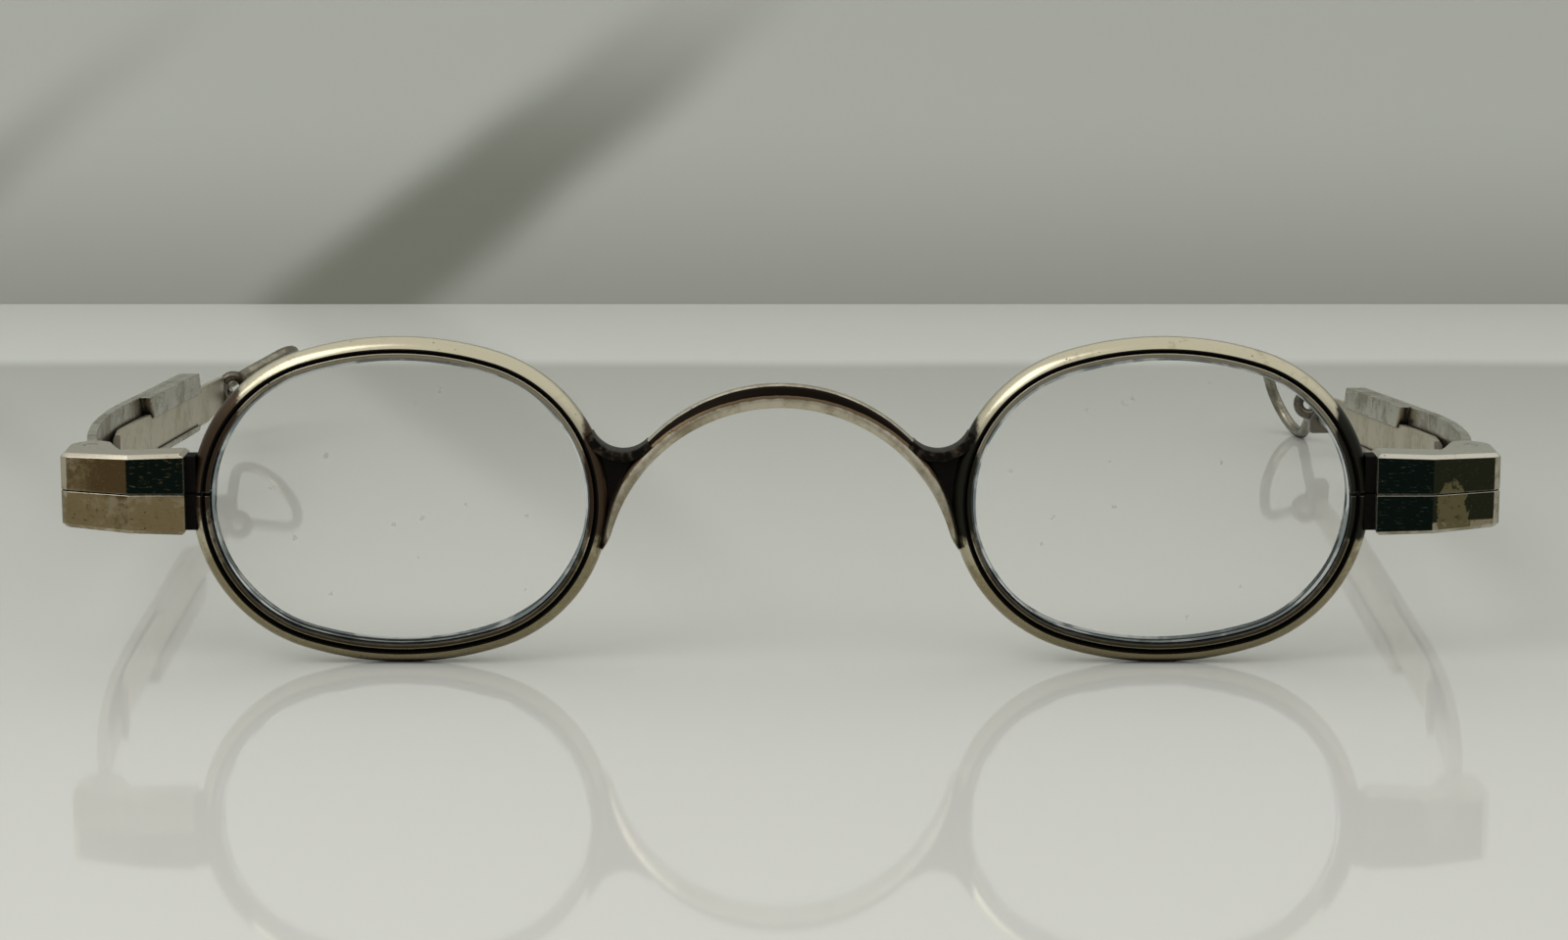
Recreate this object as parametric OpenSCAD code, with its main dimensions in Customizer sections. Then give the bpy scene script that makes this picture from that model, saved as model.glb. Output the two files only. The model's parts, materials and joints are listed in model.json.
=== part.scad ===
// Oval silver spectacles with a C bridge, hinged temples, sliding rear straps and teardrop loops.
// Millimetres. X runs across the face, the front looks towards -Y, Z is up.
// The rims and the right loop stand on Z = 0, and the origin is the middle of that footprint.

/* [Rims] */
// Width of one rim over its outer edge
rim_w = 32.8; // [30:0.1:36]
// Height of one rim over its outer edge
rim_h = 26; // [24:0.1:28]
// How far the flatter top and bottom of the oval rise above its round ends
rim_belly = 0.6; // [0.4:0.1:2]
// Distance between the middles of the two lenses
lens_pitch = 59.6; // [57.6:0.1:63]
// Depth of the half-round outer band, front to back
band_depth = 2.5; // [2:0.1:3.2]
// Width of the half-round outer band, seen from the front
band_w = 0.95; // [0.8:0.05:1.2]
// Width of the fine turned line between the band and the lip
line_w = 0.2; // [0.15:0.05:0.3]
// Depth of that line below the lip
line_cut = 0.45; // [0.2:0.05:0.6]
// Width of the inner lip that holds the lens
lip_w = 0.42; // [0.3:0.02:0.6]
// Depth of the inner lip, front to back
lip_depth = 2.1; // [1.8:0.1:2.4]
// Opening of the vee that the lens edge sits in
vee_w = 1.1; // [0.8:0.05:1.3]
// Depth of that vee
vee_cut = 0.6; // [0.4:0.05:0.75]
// Gap where the rim is split at the temple side
split_gap = 0.3; // [0.15:0.05:0.5]

/* [Lenses] */
// Thickness of the lens at its middle
lens_t = 1.8; // [1.5:0.1:2.2]
// Radius of both lens faces
lens_face_r = 320; // [200:10:500]
// Width of the ground bevel that shows inside the lip
bevel_w = 0.34; // [0.2:0.02:0.6]
// Room between the lens edge and the vee
lens_play = 0.05; // [0.03:0.01:0.1]

/* [Bridge] */
// Radius of the inner wall of the bridge arch
arch_r = 13.8; // [13.2:0.1:14.2]
// Height of the rims' middle above the centre of the arch's bore
arch_drop = 6.3; // [5.6:0.1:7]
// Thickness of the arch at its crown
crown_t = 1.8; // [1.4:0.1:2.4]
// Thickness of the arch at its feet
foot_t = 0.9; // [0.5:0.05:1.2]
// Angle from the crown at which that thickness is measured
foot_angle = 75; // [70:1:78]
// Depth of the arch, front to back
arch_depth = 2.5; // [2:0.1:3]
// Height of the rims' middle above the bridge's feet
foot_drop = 4; // [3.2:0.1:5]
// Radius of the hollow saddle between arch and rim
saddle_r = 2.6; // [2:0.1:3]
// Thickness of the saddle's lip
saddle_t = 0.8; // [0.5:0.05:1]
// Depth of the saddle's lip, front to back
saddle_depth = 2.2; // [1.6:0.1:2.4]
// Thickness of the sunk web under the saddle
web_t = 0.9; // [0.6:0.1:1.4]

/* [End pieces] */
// Width of the spectacles over the end pieces
end_span = 113.1; // [112:0.1:118]
// Height of the end pieces' middle above the rims' middle
end_rise = 0.7; // [0:0.1:1.4]
// Height of an end piece beside the rim
end_h_in = 6.5; // [6:0.1:7.2]
// Height of an end piece at its outer end
end_h_out = 5.9; // [5.6:0.1:6.6]
// Dark gap between the rim and the end piece
end_gap = 0.3; // [0.2:0.05:0.6]
// Length of the outer front facet, across the face
facet_l = 5.05; // [4:0.05:6]
// Angle at which the outer front facet is swept back
facet_angle = 19; // [12:1:24]
// Width of the narrow facet at the side
side_facet = 0.55; // [0.3:0.05:0.8]
// How far the inner facet stands in front of the lens plane
end_front = 1.6; // [1.4:0.1:1.9]
// Depth of the end piece behind the lens plane
end_back = 1.5; // [1.2:0.1:1.8]
// Depth of the neck that is soldered to the rim
neck_depth = 1.9; // [1.4:0.1:2.2]
// Bevel along the top and bottom front edges
end_bevel = 0.3; // [0.15:0.05:0.5]
// Gap at the split through the end piece
end_split = 0.06; // [0.04:0.01:0.12]

/* [Hinges] */
// Distance of the hinge axis behind the lens plane
hinge_y = 3.8; // [3.6:0.1:4.2]
// Radius of the hinge cheeks
barrel_r = 1.9; // [1.8:0.05:2.1]
// Height of the temple's knuckle between the cheeks
knuckle_h = 2; // [1.6:0.1:2.2]
// Radius of the knuckle
knuckle_r = 1.6; // [1.4:0.05:1.7]
// Running gap above and below the knuckle
knuckle_gap = 0.06; // [0.04:0.01:0.1]
// Radius of the hinge screw's shank
screw_r = 0.6; // [0.5:0.05:0.7]
// Running gap round the shank
screw_gap = 0.05; // [0.03:0.01:0.08]
// Radius of the screw head
head_r = 1.15; // [1:0.05:1.3]
// Height of the screw head
head_h = 0.6; // [0.4:0.05:0.8]
// Width of the driver slot in the screw head
slot_w = 0.3; // [0.2:0.05:0.4]

/* [Front straps] */
// Height of the temple's front strap
strap_h = 5.6; // [5:0.1:6]
// Thickness of the front strap
strap_t = 0.8; // [0.7:0.05:1]
// Length from the hinge axis to the strap's round rear end
strap_l = 67; // [62:0.5:72]
// Radius of the corners of that end
strap_corner = 1.7; // [1:0.1:2.4]
// How far the strap's outer face starts outside the hinge axis
strap_set = 0.1; // [0:0.05:0.4]
// Length of the bowed front of the strap
bow_l = 36; // [34:0.5:40]
// Angle that the bow turns through
bow_angle = 14.8; // [12:0.2:16]
// Toe-in of the right temple as it stands
toe_right = 2.9; // [1.5:0.1:4]
// Toe-in of the left temple as it stands
toe_left = 1.5; // [0.5:0.1:3]
// Height of the left loop above the table
left_lift = 2.9; // [0:0.1:3.2]

/* [Slide guides] */
// Distance of the guide's front edge from the hinge axis, at the top
guide_front = 41; // [40:0.5:44]
// How much further back the front edge is at the bottom
guide_slant = 5; // [0:0.5:6]
// Height of the guide's upper band, lip and all
guide_band = 2; // [1.8:0.1:2.2]
// Thickness of the guide's walls and lips
guide_t = 0.2; // [0.2:0.05:0.3]
// Height of the lower lip above the guide's floor
guide_lip = 0.35; // [0.25:0.05:0.5]
// Running gap between slide and guide
slide_gap = 0.06; // [0.04:0.01:0.08]

/* [Sliding straps] */
// Thickness of the sliding strap
slide_t = 0.5; // [0.45:0.05:0.6]
// How far the sliding strap reaches up under the band's lip
slide_tuck = 0.35; // [0.2:0.05:0.5]
// Distance of the sliding strap's front end from the hinge axis
tab_front = 20; // [19:0.5:21]
// Length of its flared finger tab
tab_l = 9; // [8:0.5:9.5]
// How far the tab flares inwards
tab_flare = 1.4; // [1.2:0.1:1.8]
// Distance of its rear end from the hinge axis
slide_end = 81.4; // [78:0.2:84]
// Length over which its rear end narrows
slide_taper = 9; // [6:0.5:11]
// Height of its rear end
slide_end_h = 2.9; // [2.4:0.1:3.4]

/* [Collars and loops] */
// Length of the collar at the root of the loop
collar_l = 2; // [1.6:0.1:2.6]
// Width of the collar
collar_w = 2.1; // [1.8:0.1:2.4]
// How far the collar reaches below the middle of the strap
collar_drop = 2.9; // [2.7:0.1:3.1]
// Outer radius of the small eye on the collar
eye_r = 1.55; // [1.35:0.05:1.6]
// Radius of the eye's wire
eye_wire_r = 0.5; // [0.4:0.02:0.54]
// Length of the teardrop loop
loop_l = 14; // [12:0.5:16]
// Height of the teardrop loop over its wire
loop_h = 9.2; // [8.8:0.1:9.8]
// Radius of the loop's wire
wire_r = 0.55; // [0.45:0.05:0.65]
// Angle at which the left loop turns in from the strap
left_bend = 15; // [8:1:22]
// Angle at which the right loop turns in from the strap
right_bend = 9; // [4:1:18]
// Angle at which the left loop's top leans towards the head
left_lean = 46; // [30:1:50]
// Angle at which the right loop's top leans towards the head
right_lean = 22; // [10:1:34]

/* [Hidden] */
$fn = 96;
wide_fn = 720;
seam = 0.008;
lap_angle = 0.4;
lens_rings = 10;
past = 0.5;
left = -1;
right = 1;

// The oval is four tangent arcs: two ends of rim_end_r, and a top and bottom of oval_r
half_w = rim_w / 2;
half_h = rim_h / 2;
rim_end_r = half_h - rim_belly;
arch_z = half_h - arch_drop;
foot_z = half_h - foot_drop;
hinge_z = half_h + end_rise;
end_cx = half_w - rim_end_r;
oval_r = (end_cx * end_cx + half_h * half_h - rim_end_r * rim_end_r) / (2 * (half_h - rim_end_r));
side_cy = oval_r - half_h;
end_angle = atan2(side_cy, end_cx);
rim_t = band_w + line_w + lip_w;
vee_tip = rim_t - vee_cut;
band_r = band_depth / 2;
seat_inset = 0.15;
lens_x = lens_pitch / 2;
rim_outer_x = lens_x + half_w;

// The bridge's outer edge is a circle that rises above the inner one, so the arch thins to its feet
arch_rise = (crown_t - foot_t) / (1 - cos(foot_angle));
arch_outer_r = arch_r + crown_t - arch_rise;
arch_outer_z = arch_z + arch_rise;
foot_cut_angle = 48;
foot_run = 2.6;
// The saddle's circle touches the arch's outer circle and the rim's end arc
nose_x = lens_x - end_cx;
nose_z = half_h;
to_arch = arch_outer_r + saddle_r;
to_rim = rim_end_r + saddle_r;
centres = norm([nose_x, nose_z - arch_outer_z]);
along = (to_arch * to_arch - to_rim * to_rim + centres * centres) / (2 * centres);
aside = sqrt(to_arch * to_arch - along * along);
saddle_x = (along * nose_x - aside * (nose_z - arch_outer_z)) / centres;
saddle_z = arch_outer_z + (along * (nose_z - arch_outer_z) + aside * nose_x) / centres;

// End pieces and hinges
end_x = end_span / 2;
end_in_x = rim_outer_x + end_gap;
facet_x = end_x - side_facet - facet_l;
facet_back = facet_l * tan(facet_angle);
hinge_x = end_x - barrel_r;
cheek_z = knuckle_h / 2 + knuckle_gap;
cheek_waist = 1.1;

// Temple frame: origin on the hinge axis, Y along the strap, X away from the head
bow_r = bow_l / sin(bow_angle);
strap_out = strap_set + bow_r * (1 - cos(bow_angle));
strap_in = strap_out - strap_t;
strap_front = barrel_r + 0.4;
neck_in = strap_set - strap_t;
neck_inset = 0.05;
guide_in = strap_in - guide_t;
slide_out = guide_in - slide_gap;
slide_in = slide_out - slide_t;
slide_mid = (slide_out + slide_in) / 2;
lip_out = slide_in - slide_gap;
band_z = strap_h / 2 - guide_band;
slide_top = band_z + slide_tuck;
slide_bottom = -strap_h / 2 + guide_t + slide_gap;
slide_h = slide_top - slide_bottom;

// Loops and the way the temples droop: the right loop stands on the table
loop_arc_r = loop_h / 2 - wire_r;
loop_centre = loop_l - loop_h / 2;
loop_half_angle = asin(loop_arc_r / loop_centre);
loop_root = slide_end + collar_l;
left_mid_y = loop_root + loop_centre * cos(left_bend);
left_mid_x = slide_mid - loop_centre * sin(left_bend);
right_mid_y = loop_root + loop_centre * cos(right_bend);
left_foot = loop_arc_r * cos(left_lean) + wire_r;
right_foot = loop_arc_r * cos(right_lean) + wire_r;
droop_left = asin((hinge_z - left_foot - left_lift) / left_mid_y);
droop_right = asin((hinge_z - right_foot) / right_mid_y);

// The origin lies midway between the front of the end pieces and the back of the left loop
left_turn = left_bend + toe_left;
rear_y = hinge_y + left_mid_x * sin(toe_left) + left_mid_y * cos(droop_left) * cos(toe_left)
    + loop_arc_r * norm([cos(left_turn), sin(left_turn) * sin(left_lean)]) + wire_r;
mid_y = (rear_y - end_front) / 2;

// Helpers for the front, drawn in the lens plane and stood up

module in_frame() {
    translate([0, -mid_y, 0]) children();
}

module at_lens(side) {
    translate([side * lens_x, 0, half_h]) rotate([90, 0, 0]) children();
}

// Carries a section round the oval: X = 0 is the outer edge, Y = 0 the lens plane.
// The second child is the same section grown by seam, which swallows the ends of the first.
module round_oval() {
    for (turn = [0, 180]) {
        rotate([0, 0, turn]) translate([end_cx, 0, 0]) rotate([0, 0, -end_angle - lap_angle])
            rotate_extrude(angle = 2 * end_angle + 2 * lap_angle) translate([rim_end_r, 0]) children(0);
        rotate([0, 0, turn]) translate([0, -side_cy, 0]) rotate([0, 0, end_angle])
            rotate_extrude(angle = 180 - 2 * end_angle) translate([oval_r, 0]) children(1);
    }
}

module oval(inset) {
    tangent_x = end_cx + (rim_end_r - inset) * cos(end_angle);
    for (side = [left, right])
        translate([side * end_cx, 0]) circle(rim_end_r - inset);
    intersection() {
        translate([0, -side_cy]) circle(oval_r - inset);
        translate([0, side_cy]) circle(oval_r - inset);
        square([2 * tangent_x, 2 * half_h], center = true);
    }
}

module oval_plate(inset, depth) {
    linear_extrude(depth, center = true) oval(inset);
}

module across(depth) {
    rotate([90, 0, 0]) linear_extrude(depth, center = true) children();
}

// Rims and lenses

module band_section(grow) {
    intersection() {
        translate([-band_r, 0]) circle(band_r + grow);
        translate([-band_w - grow, -band_depth]) square([band_w + past, 2 * band_depth]);
    }
}

// Lip, turned line and vee, drawn as one outline from the vee's tip round to the vee's tip
module lip_section(grow) {
    lip = lip_depth / 2 + grow;
    corner = lip_w / 3;
    floor_y = lip_depth / 2 - line_cut + grow;
    inner = -rim_t - grow;
    groove = -rim_t + lip_w + grow;
    polygon([[-vee_tip - grow, 0], [inner, vee_w / 2], [inner, lip - corner], [inner + corner, lip],
        [groove - corner / 2, lip], [groove, lip - corner], [groove, floor_y], [-band_w / 2, floor_y],
        [-band_w / 2, -floor_y], [groove, -floor_y], [groove, corner - lip], [groove - corner / 2, -lip],
        [inner + corner, -lip], [inner, corner - lip], [inner, -vee_w / 2]]);
}

module rim_section(grow) {
    band_section(grow);
    lip_section(grow);
}

module rim(side) {
    difference() {
        at_lens(side) round_oval() {
            rim_section(0);
            rim_section(seam);
        }
        translate([side * (lens_x + half_w), 0, hinge_z])
            cube([4 * rim_t, 2 * band_depth, split_gap], center = true);
    }
}

// What the bridge and the end pieces are cut to, so that they seat on the rim's round band
module rim_seat(side) {
    at_lens(side) {
        round_oval() {
            band_section(0);
            band_section(seam);
        }
        oval_plate(seat_inset, 4 * band_depth);
    }
}

// Half the thickness of the lens at a distance from its middle
function lens_half(r) = lens_t / 2 - lens_face_r + sqrt(lens_face_r * lens_face_r - r * r);

// Everything outside the lens edge: its pointed rim, and the bevel that shows inside the lip
module lens_cut(tip, edge, grow) {
    inner = -rim_t - bevel_w - grow;
    polygon([[-tip - grow, 0], [-rim_t - grow, edge], [inner, lens_t / 2], [inner, lens_t + grow],
        [past, lens_t + grow], [past, -lens_t - grow], [inner, -lens_t - grow], [inner, -lens_t / 2],
        [-rim_t - grow, -edge]]);
}

module lens(side) {
    tip = vee_tip + lens_play;
    edge = (vee_w / 2) * (rim_t - vee_tip - lens_play) / vee_cut;
    ring_w = half_w / lens_rings;
    at_lens(side) difference() {
        intersection() {
            oval_plate(tip - past / 2, 2 * lens_t);
            rotate_extrude() polygon(concat(
                [for (i = [0:lens_rings]) [i * ring_w, lens_half(i * ring_w)]],
                [for (i = [lens_rings:-1:0]) [i * ring_w, -lens_half(i * ring_w)]]));
        }
        round_oval() {
            lens_cut(tip, edge, 0);
            lens_cut(tip, edge, seam);
        }
    }
}

// Bridge

module arch() {
    difference() {
        translate([0, 0, arch_outer_z]) rotate([90, 0, 0]) rotate_extrude() {
            translate([arch_outer_r - arch_depth / 2, 0]) circle(arch_depth / 2);
            translate([arch_r - crown_t - past, -arch_depth / 2])
                square([arch_outer_r - arch_depth / 2 - arch_r + crown_t + past, arch_depth]);
        }
        translate([-rim_w, -band_depth, foot_z - rim_h]) cube([2 * rim_w, 2 * band_depth, rim_h]);
    }
}

// Outline of the web between arch, saddle and rim, on the right
module web_outline() {
    difference() {
        polygon([[0, arch_outer_z], [saddle_x, saddle_z], [nose_x, nose_z], [nose_x, foot_z],
            [arch_r * cos(foot_angle), foot_z]]);
        translate([saddle_x, saddle_z]) circle(saddle_r);
    }
}

module web(side) {
    mirror([side == left ? 1 : 0, 0, 0]) {
        across(web_t) web_outline();
        across(saddle_depth) intersection() {
            web_outline();
            translate([saddle_x, saddle_z]) circle(saddle_r + saddle_t);
        }
    }
}

// Slanted cut that lets a foot run out on its rim
module foot_run_out(side) {
    mirror([side == left ? 1 : 0, 0, 0])
        translate([nose_x - sqrt(pow(rim_end_r, 2) - pow(nose_z - foot_z, 2)), 0, foot_z])
            rotate([0, foot_cut_angle, 0])
                translate([-foot_run, -band_depth, -foot_run]) cube([2 * foot_run, 2 * band_depth, foot_run]);
}

module bridge() {
    color("#b9b199") in_frame() difference() {
        union() {
            arch();
            for (side = [left, right])
                web(side);
        }
        translate([0, 0, arch_z]) rotate([90, 0, 0]) cylinder(4 * band_depth, r = arch_r, center = true);
        for (side = [left, right]) {
            rim_seat(side);
            foot_run_out(side);
        }
    }
}

// End pieces

module end_plan() {
    polygon([[end_in_x, -end_front], [facet_x, -end_front], [end_x - side_facet, facet_back - end_front],
        [end_x, facet_back - end_front + side_facet], [end_x, hinge_y], [hinge_x - barrel_r, hinge_y],
        [hinge_x - barrel_r - cheek_waist, end_back], [end_in_x, end_back]]);
    translate([hinge_x, hinge_y]) circle(barrel_r);
}

module end_front_outline() {
    polygon([[end_in_x, -end_h_in / 2], [end_x, -end_h_out / 2], [end_x, end_h_out / 2],
        [end_in_x, end_h_in / 2]]);
}

// Bevels along the top and bottom edges of a facet that starts at a point and runs at an angle
module facet_bevel(from, angle, length) {
    slope = atan2((end_h_in - end_h_out) / 2, end_x - end_in_x);
    for (face = [-1, 1])
        translate([from[0], from[1], face * (end_h_in / 2 - (from[0] - end_in_x) * tan(slope))])
            rotate([0, face * slope, angle]) rotate([45, 0, 0])
                cube([2 * length + 2 * past, end_bevel * sqrt(2), end_bevel * sqrt(2)], center = true);
}

module end_block() {
    difference() {
        union() {
            intersection() {
                linear_extrude(2 * end_h_in, center = true) end_plan();
                across(8 * end_back) end_front_outline();
            }
            translate([rim_outer_x - rim_t, -neck_depth / 2, -end_h_out / 2])
                cube([rim_t + end_gap + past, neck_depth, end_h_out]);
        }
        facet_bevel([end_in_x, -end_front], 0, facet_x - end_in_x);
        facet_bevel([facet_x, -end_front], facet_angle, facet_l / cos(facet_angle));
    }
}

// Room for the knuckle between the cheeks, open behind the hinge axis
module knuckle_room() {
    reach = 3 * barrel_r;
    translate([hinge_x, hinge_y, 0]) {
        cylinder(2 * cheek_z, r = knuckle_r + 2 * knuckle_gap, center = true);
        translate([-reach, neck_in - knuckle_gap, -cheek_z]) cube([2 * reach, reach, 2 * cheek_z]);
    }
}

module at_end(side) {
    translate([0, 0, hinge_z]) mirror([side == left ? 1 : 0, 0, 0]) children();
}

module end_half(side, half) {
    in_frame() difference() {
        at_end(side) difference() {
            intersection() {
                end_block();
                translate([0, -end_x, half > 0 ? end_split / 2 : -end_h_in - end_split / 2])
                    cube([2 * end_x, 2 * end_x, end_h_in]);
            }
            knuckle_room();
            translate([hinge_x, hinge_y, 0])
                cylinder(2 * end_h_in, r = screw_r + screw_gap / 2, center = true);
            translate([hinge_x, hinge_y, head_h - end_h_out / 2 - end_h_in])
                cylinder(end_h_in, r = head_r + screw_gap);
        }
        rim_seat(side);
    }
}

module hinge_screw(side) {
    color("#8f8a7c") in_frame() at_end(side) translate([hinge_x, hinge_y, 0]) mirror([0, 0, 1]) difference() {
        union() {
            translate([0, 0, -end_h_out / 2]) cylinder(end_h_out - head_h, r = screw_r);
            translate([0, 0, end_h_out / 2 - head_h + screw_gap]) cylinder(head_h - screw_gap, r = head_r);
            translate([0, 0, end_h_out / 2 - head_h - screw_gap]) cylinder(head_h, r = screw_r);
        }
        translate([-slot_w / 2, -end_x / 2, end_h_out / 2 - head_h / 2]) cube([slot_w, end_x, head_h]);
    }
}

// Temples, drawn in the temple frame and stood at each hinge with its own toe-in and droop

module at_hinge(side) {
    in_frame() translate([side * hinge_x, hinge_y, hinge_z]) mirror([side == left ? 1 : 0, 0, 0])
        rotate([0, 0, side == left ? toe_left : toe_right]) children();
}

module at_temple(side) {
    at_hinge(side) rotate([side == left ? -droop_left : -droop_right, 0, 0]) children();
}

// Plan of a strip that follows the strap between two faces, given by their distance from the axis
module strap_plan(inner, outer) {
    translate([inner, bow_l]) square([outer - inner, strap_l - bow_l]);
    intersection() {
        translate([strap_out - bow_r, bow_l]) difference() {
            circle(bow_r - strap_out + outer, $fn = wide_fn);
            circle(bow_r - strap_out + inner, $fn = wide_fn);
        }
        translate([-barrel_r, 0]) square([2 * strap_out + barrel_r, bow_l]);
    }
}

// Side outlines are drawn with X along the strap and Y up, then stood across the strap
module from_side(width) {
    rotate([90, 0, 90]) linear_extrude(width) children();
}

module strap_side() {
    translate([strap_front, -strap_h / 2]) square([strap_l - strap_corner - strap_front, strap_h]);
    translate([strap_l / 2, strap_corner - strap_h / 2])
        square([strap_l / 2, strap_h - 2 * strap_corner]);
    for (edge = [-1, 1])
        translate([strap_l - strap_corner, edge * (strap_h / 2 - strap_corner)]) circle(strap_corner);
}

module knuckle() {
    neck_y = strap_front + strap_t;
    neck_out = strap_set + neck_y * tan(bow_angle) - 2 * neck_inset;
    difference() {
        linear_extrude(knuckle_h, center = true) {
            circle(knuckle_r);
            polygon([[neck_in, 0], [strap_set + neck_inset, 0], [neck_out, neck_y],
                [neck_out - strap_t + 2 * neck_inset, neck_y]]);
        }
        cylinder(2 * knuckle_h, r = screw_r + screw_gap, center = true);
    }
}

module temple_strap(side) {
    color("#b3a888") {
        at_hinge(side) knuckle();
        at_temple(side) intersection() {
            linear_extrude(2 * strap_h, center = true) strap_plan(strap_in, strap_out);
            translate([-barrel_r, 0, 0]) from_side(3 * strap_out) strap_side();
        }
    }
}

module guide_side() {
    intersection() {
        strap_side();
        polygon([[guide_front, strap_h / 2], [guide_front + guide_slant, -strap_h / 2],
            [strap_l + past, -strap_h / 2], [strap_l + past, strap_h / 2]]);
    }
}

// Folded channel: a back on the strap, a deep upper band and a small lower lip
module slide_guide(side) {
    depth = strap_in - lip_out + guide_t;
    color("#a99f83") at_temple(side) difference() {
        translate([strap_in - depth, 0, 0]) from_side(depth) guide_side();
        translate([lip_out, 0, slide_bottom - slide_gap])
            cube([guide_in - lip_out, 2 * strap_l, slide_h + 2 * slide_gap]);
        translate([lip_out - 2 * guide_t, 0, slide_bottom - slide_gap + guide_lip])
            cube([3 * guide_t, 2 * strap_l, band_z - slide_bottom + slide_gap - guide_lip]);
    }
}

module slide_plan() {
    bend_y = tab_front + tab_l;
    polygon([[slide_in, slide_end], [slide_in, bend_y], [slide_in - tab_flare, tab_front],
        [slide_out - tab_flare, tab_front], [slide_out, bend_y], [slide_out, slide_end]]);
}

module slide_side() {
    tab_corner = slide_h / 3;
    taper_y = slide_end - slide_taper;
    polygon([[tab_front + tab_corner, slide_bottom], [taper_y, slide_bottom],
        [slide_end, -slide_end_h / 2 - (slide_h - slide_end_h) / 2], [slide_end, slide_end_h / 2 -
        (slide_h - slide_end_h) / 2], [taper_y, slide_top], [tab_front + tab_corner, slide_top]]);
    translate([tab_front, slide_bottom + tab_corner]) square([tab_l, slide_h - 2 * tab_corner]);
    for (z = [slide_bottom + tab_corner, slide_top - tab_corner])
        translate([tab_front + tab_corner, z]) circle(tab_corner);
}

module slide_strap(side) {
    color("#bcae8e") at_temple(side) intersection() {
        linear_extrude(2 * strap_h, center = true) slide_plan();
        translate([slide_in - 2 * tab_flare, 0, 0]) from_side(3 * strap_out) slide_side();
    }
}

// Collar at the root of the loop, with a small round eye that faces the front
module slide_collar(side) {
    top_r = collar_w / 2;
    color("#6f6857") at_temple(side) translate([slide_mid, slide_end, 0]) {
        translate([-top_r, 0, -collar_drop]) cube([collar_w, collar_l, collar_drop]);
        rotate([-90, 0, 0]) cylinder(collar_l, r = top_r);
        translate([-top_r, collar_l / 2, 0]) rotate([90, 0, 0]) rotate_extrude()
            translate([eye_r - eye_wire_r, 0]) circle(eye_wire_r);
    }
}

// Teardrop of round wire: an arc and two straight legs that meet at the collar
module teardrop() {
    leg = loop_centre * cos(loop_half_angle);
    translate([0, loop_centre, 0]) rotate([0, 90, 0]) rotate([0, 0, -loop_half_angle])
        rotate_extrude(angle = 180 + 2 * loop_half_angle) translate([loop_arc_r, 0]) circle(wire_r);
    for (edge = [-1, 1])
        rotate([edge * loop_half_angle, 0, 0]) rotate([-90, 0, 0]) cylinder(leg, r = wire_r);
    sphere(wire_r);
}

module loop(side) {
    color("#ada48c") at_temple(side) difference() {
        translate([slide_mid, loop_root, 0])
            rotate([0, 0, side == left ? left_bend : right_bend])
                rotate([0, side == left ? -left_lean : -right_lean, 0]) teardrop();
        translate([-strap_h, loop_root - loop_h, -strap_h]) cube([3 * strap_h, loop_h, 2 * strap_h]);
    }
}

bridge();
color("#bdb59c") in_frame() rim(left);  // left_rim
color("#bdb59c") in_frame() rim(right);  // right_rim
color("#cfd8d2", 0.4) in_frame() lens(left);  // left_lens
color("#cfd8d2", 0.4) in_frame() lens(right);  // right_lens
color("#9c8a66") end_half(left, 1);  // left_end_upper
color("#9c8a66") end_half(right, 1);  // right_end_upper
color("#a39472") end_half(left, -1);  // left_end_lower
color("#a39472") end_half(right, -1);  // right_end_lower
hinge_screw(left);  // left_hinge_screw
hinge_screw(right);  // right_hinge_screw
temple_strap(left);  // left_temple_strap
temple_strap(right);  // right_temple_strap
slide_guide(left);  // left_slide_guide
slide_guide(right);  // right_slide_guide
slide_strap(left);  // left_slide_strap
slide_strap(right);  // right_slide_strap
slide_collar(left);  // left_slide_collar
slide_collar(right);  // right_slide_collar
loop(left);  // left_loop
loop(right);  // right_loop
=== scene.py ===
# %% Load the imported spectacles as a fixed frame
import json
import math
import bmesh
import bpy
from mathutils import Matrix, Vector

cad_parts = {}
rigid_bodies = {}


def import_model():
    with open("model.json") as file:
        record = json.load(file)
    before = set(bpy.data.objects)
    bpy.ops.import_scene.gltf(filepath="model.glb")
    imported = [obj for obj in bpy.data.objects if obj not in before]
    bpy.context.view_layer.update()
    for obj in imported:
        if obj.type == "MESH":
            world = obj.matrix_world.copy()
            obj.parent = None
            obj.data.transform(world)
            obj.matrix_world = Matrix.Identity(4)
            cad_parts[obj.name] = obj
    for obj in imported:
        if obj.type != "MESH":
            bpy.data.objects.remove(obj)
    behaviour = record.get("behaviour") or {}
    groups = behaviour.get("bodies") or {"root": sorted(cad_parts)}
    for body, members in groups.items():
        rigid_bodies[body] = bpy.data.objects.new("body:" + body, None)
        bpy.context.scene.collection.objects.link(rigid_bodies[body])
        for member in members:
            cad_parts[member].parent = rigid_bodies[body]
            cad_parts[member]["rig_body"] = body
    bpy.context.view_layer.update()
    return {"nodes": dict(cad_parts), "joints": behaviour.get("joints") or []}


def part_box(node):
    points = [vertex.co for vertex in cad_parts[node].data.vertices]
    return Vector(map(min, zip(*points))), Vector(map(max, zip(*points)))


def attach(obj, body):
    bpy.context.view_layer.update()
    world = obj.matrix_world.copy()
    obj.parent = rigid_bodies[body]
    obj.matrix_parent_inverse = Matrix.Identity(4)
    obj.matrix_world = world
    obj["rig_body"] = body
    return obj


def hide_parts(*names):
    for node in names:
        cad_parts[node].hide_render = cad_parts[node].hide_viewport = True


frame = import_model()

# %% [markdown]
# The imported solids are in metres, in the frame of the construction drawings, and most sizes on a
# pair of spectacles are a few millimetres. So every cell below works in millimetres, and a mesh is
# turned into metres once, when it is finished.

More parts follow.
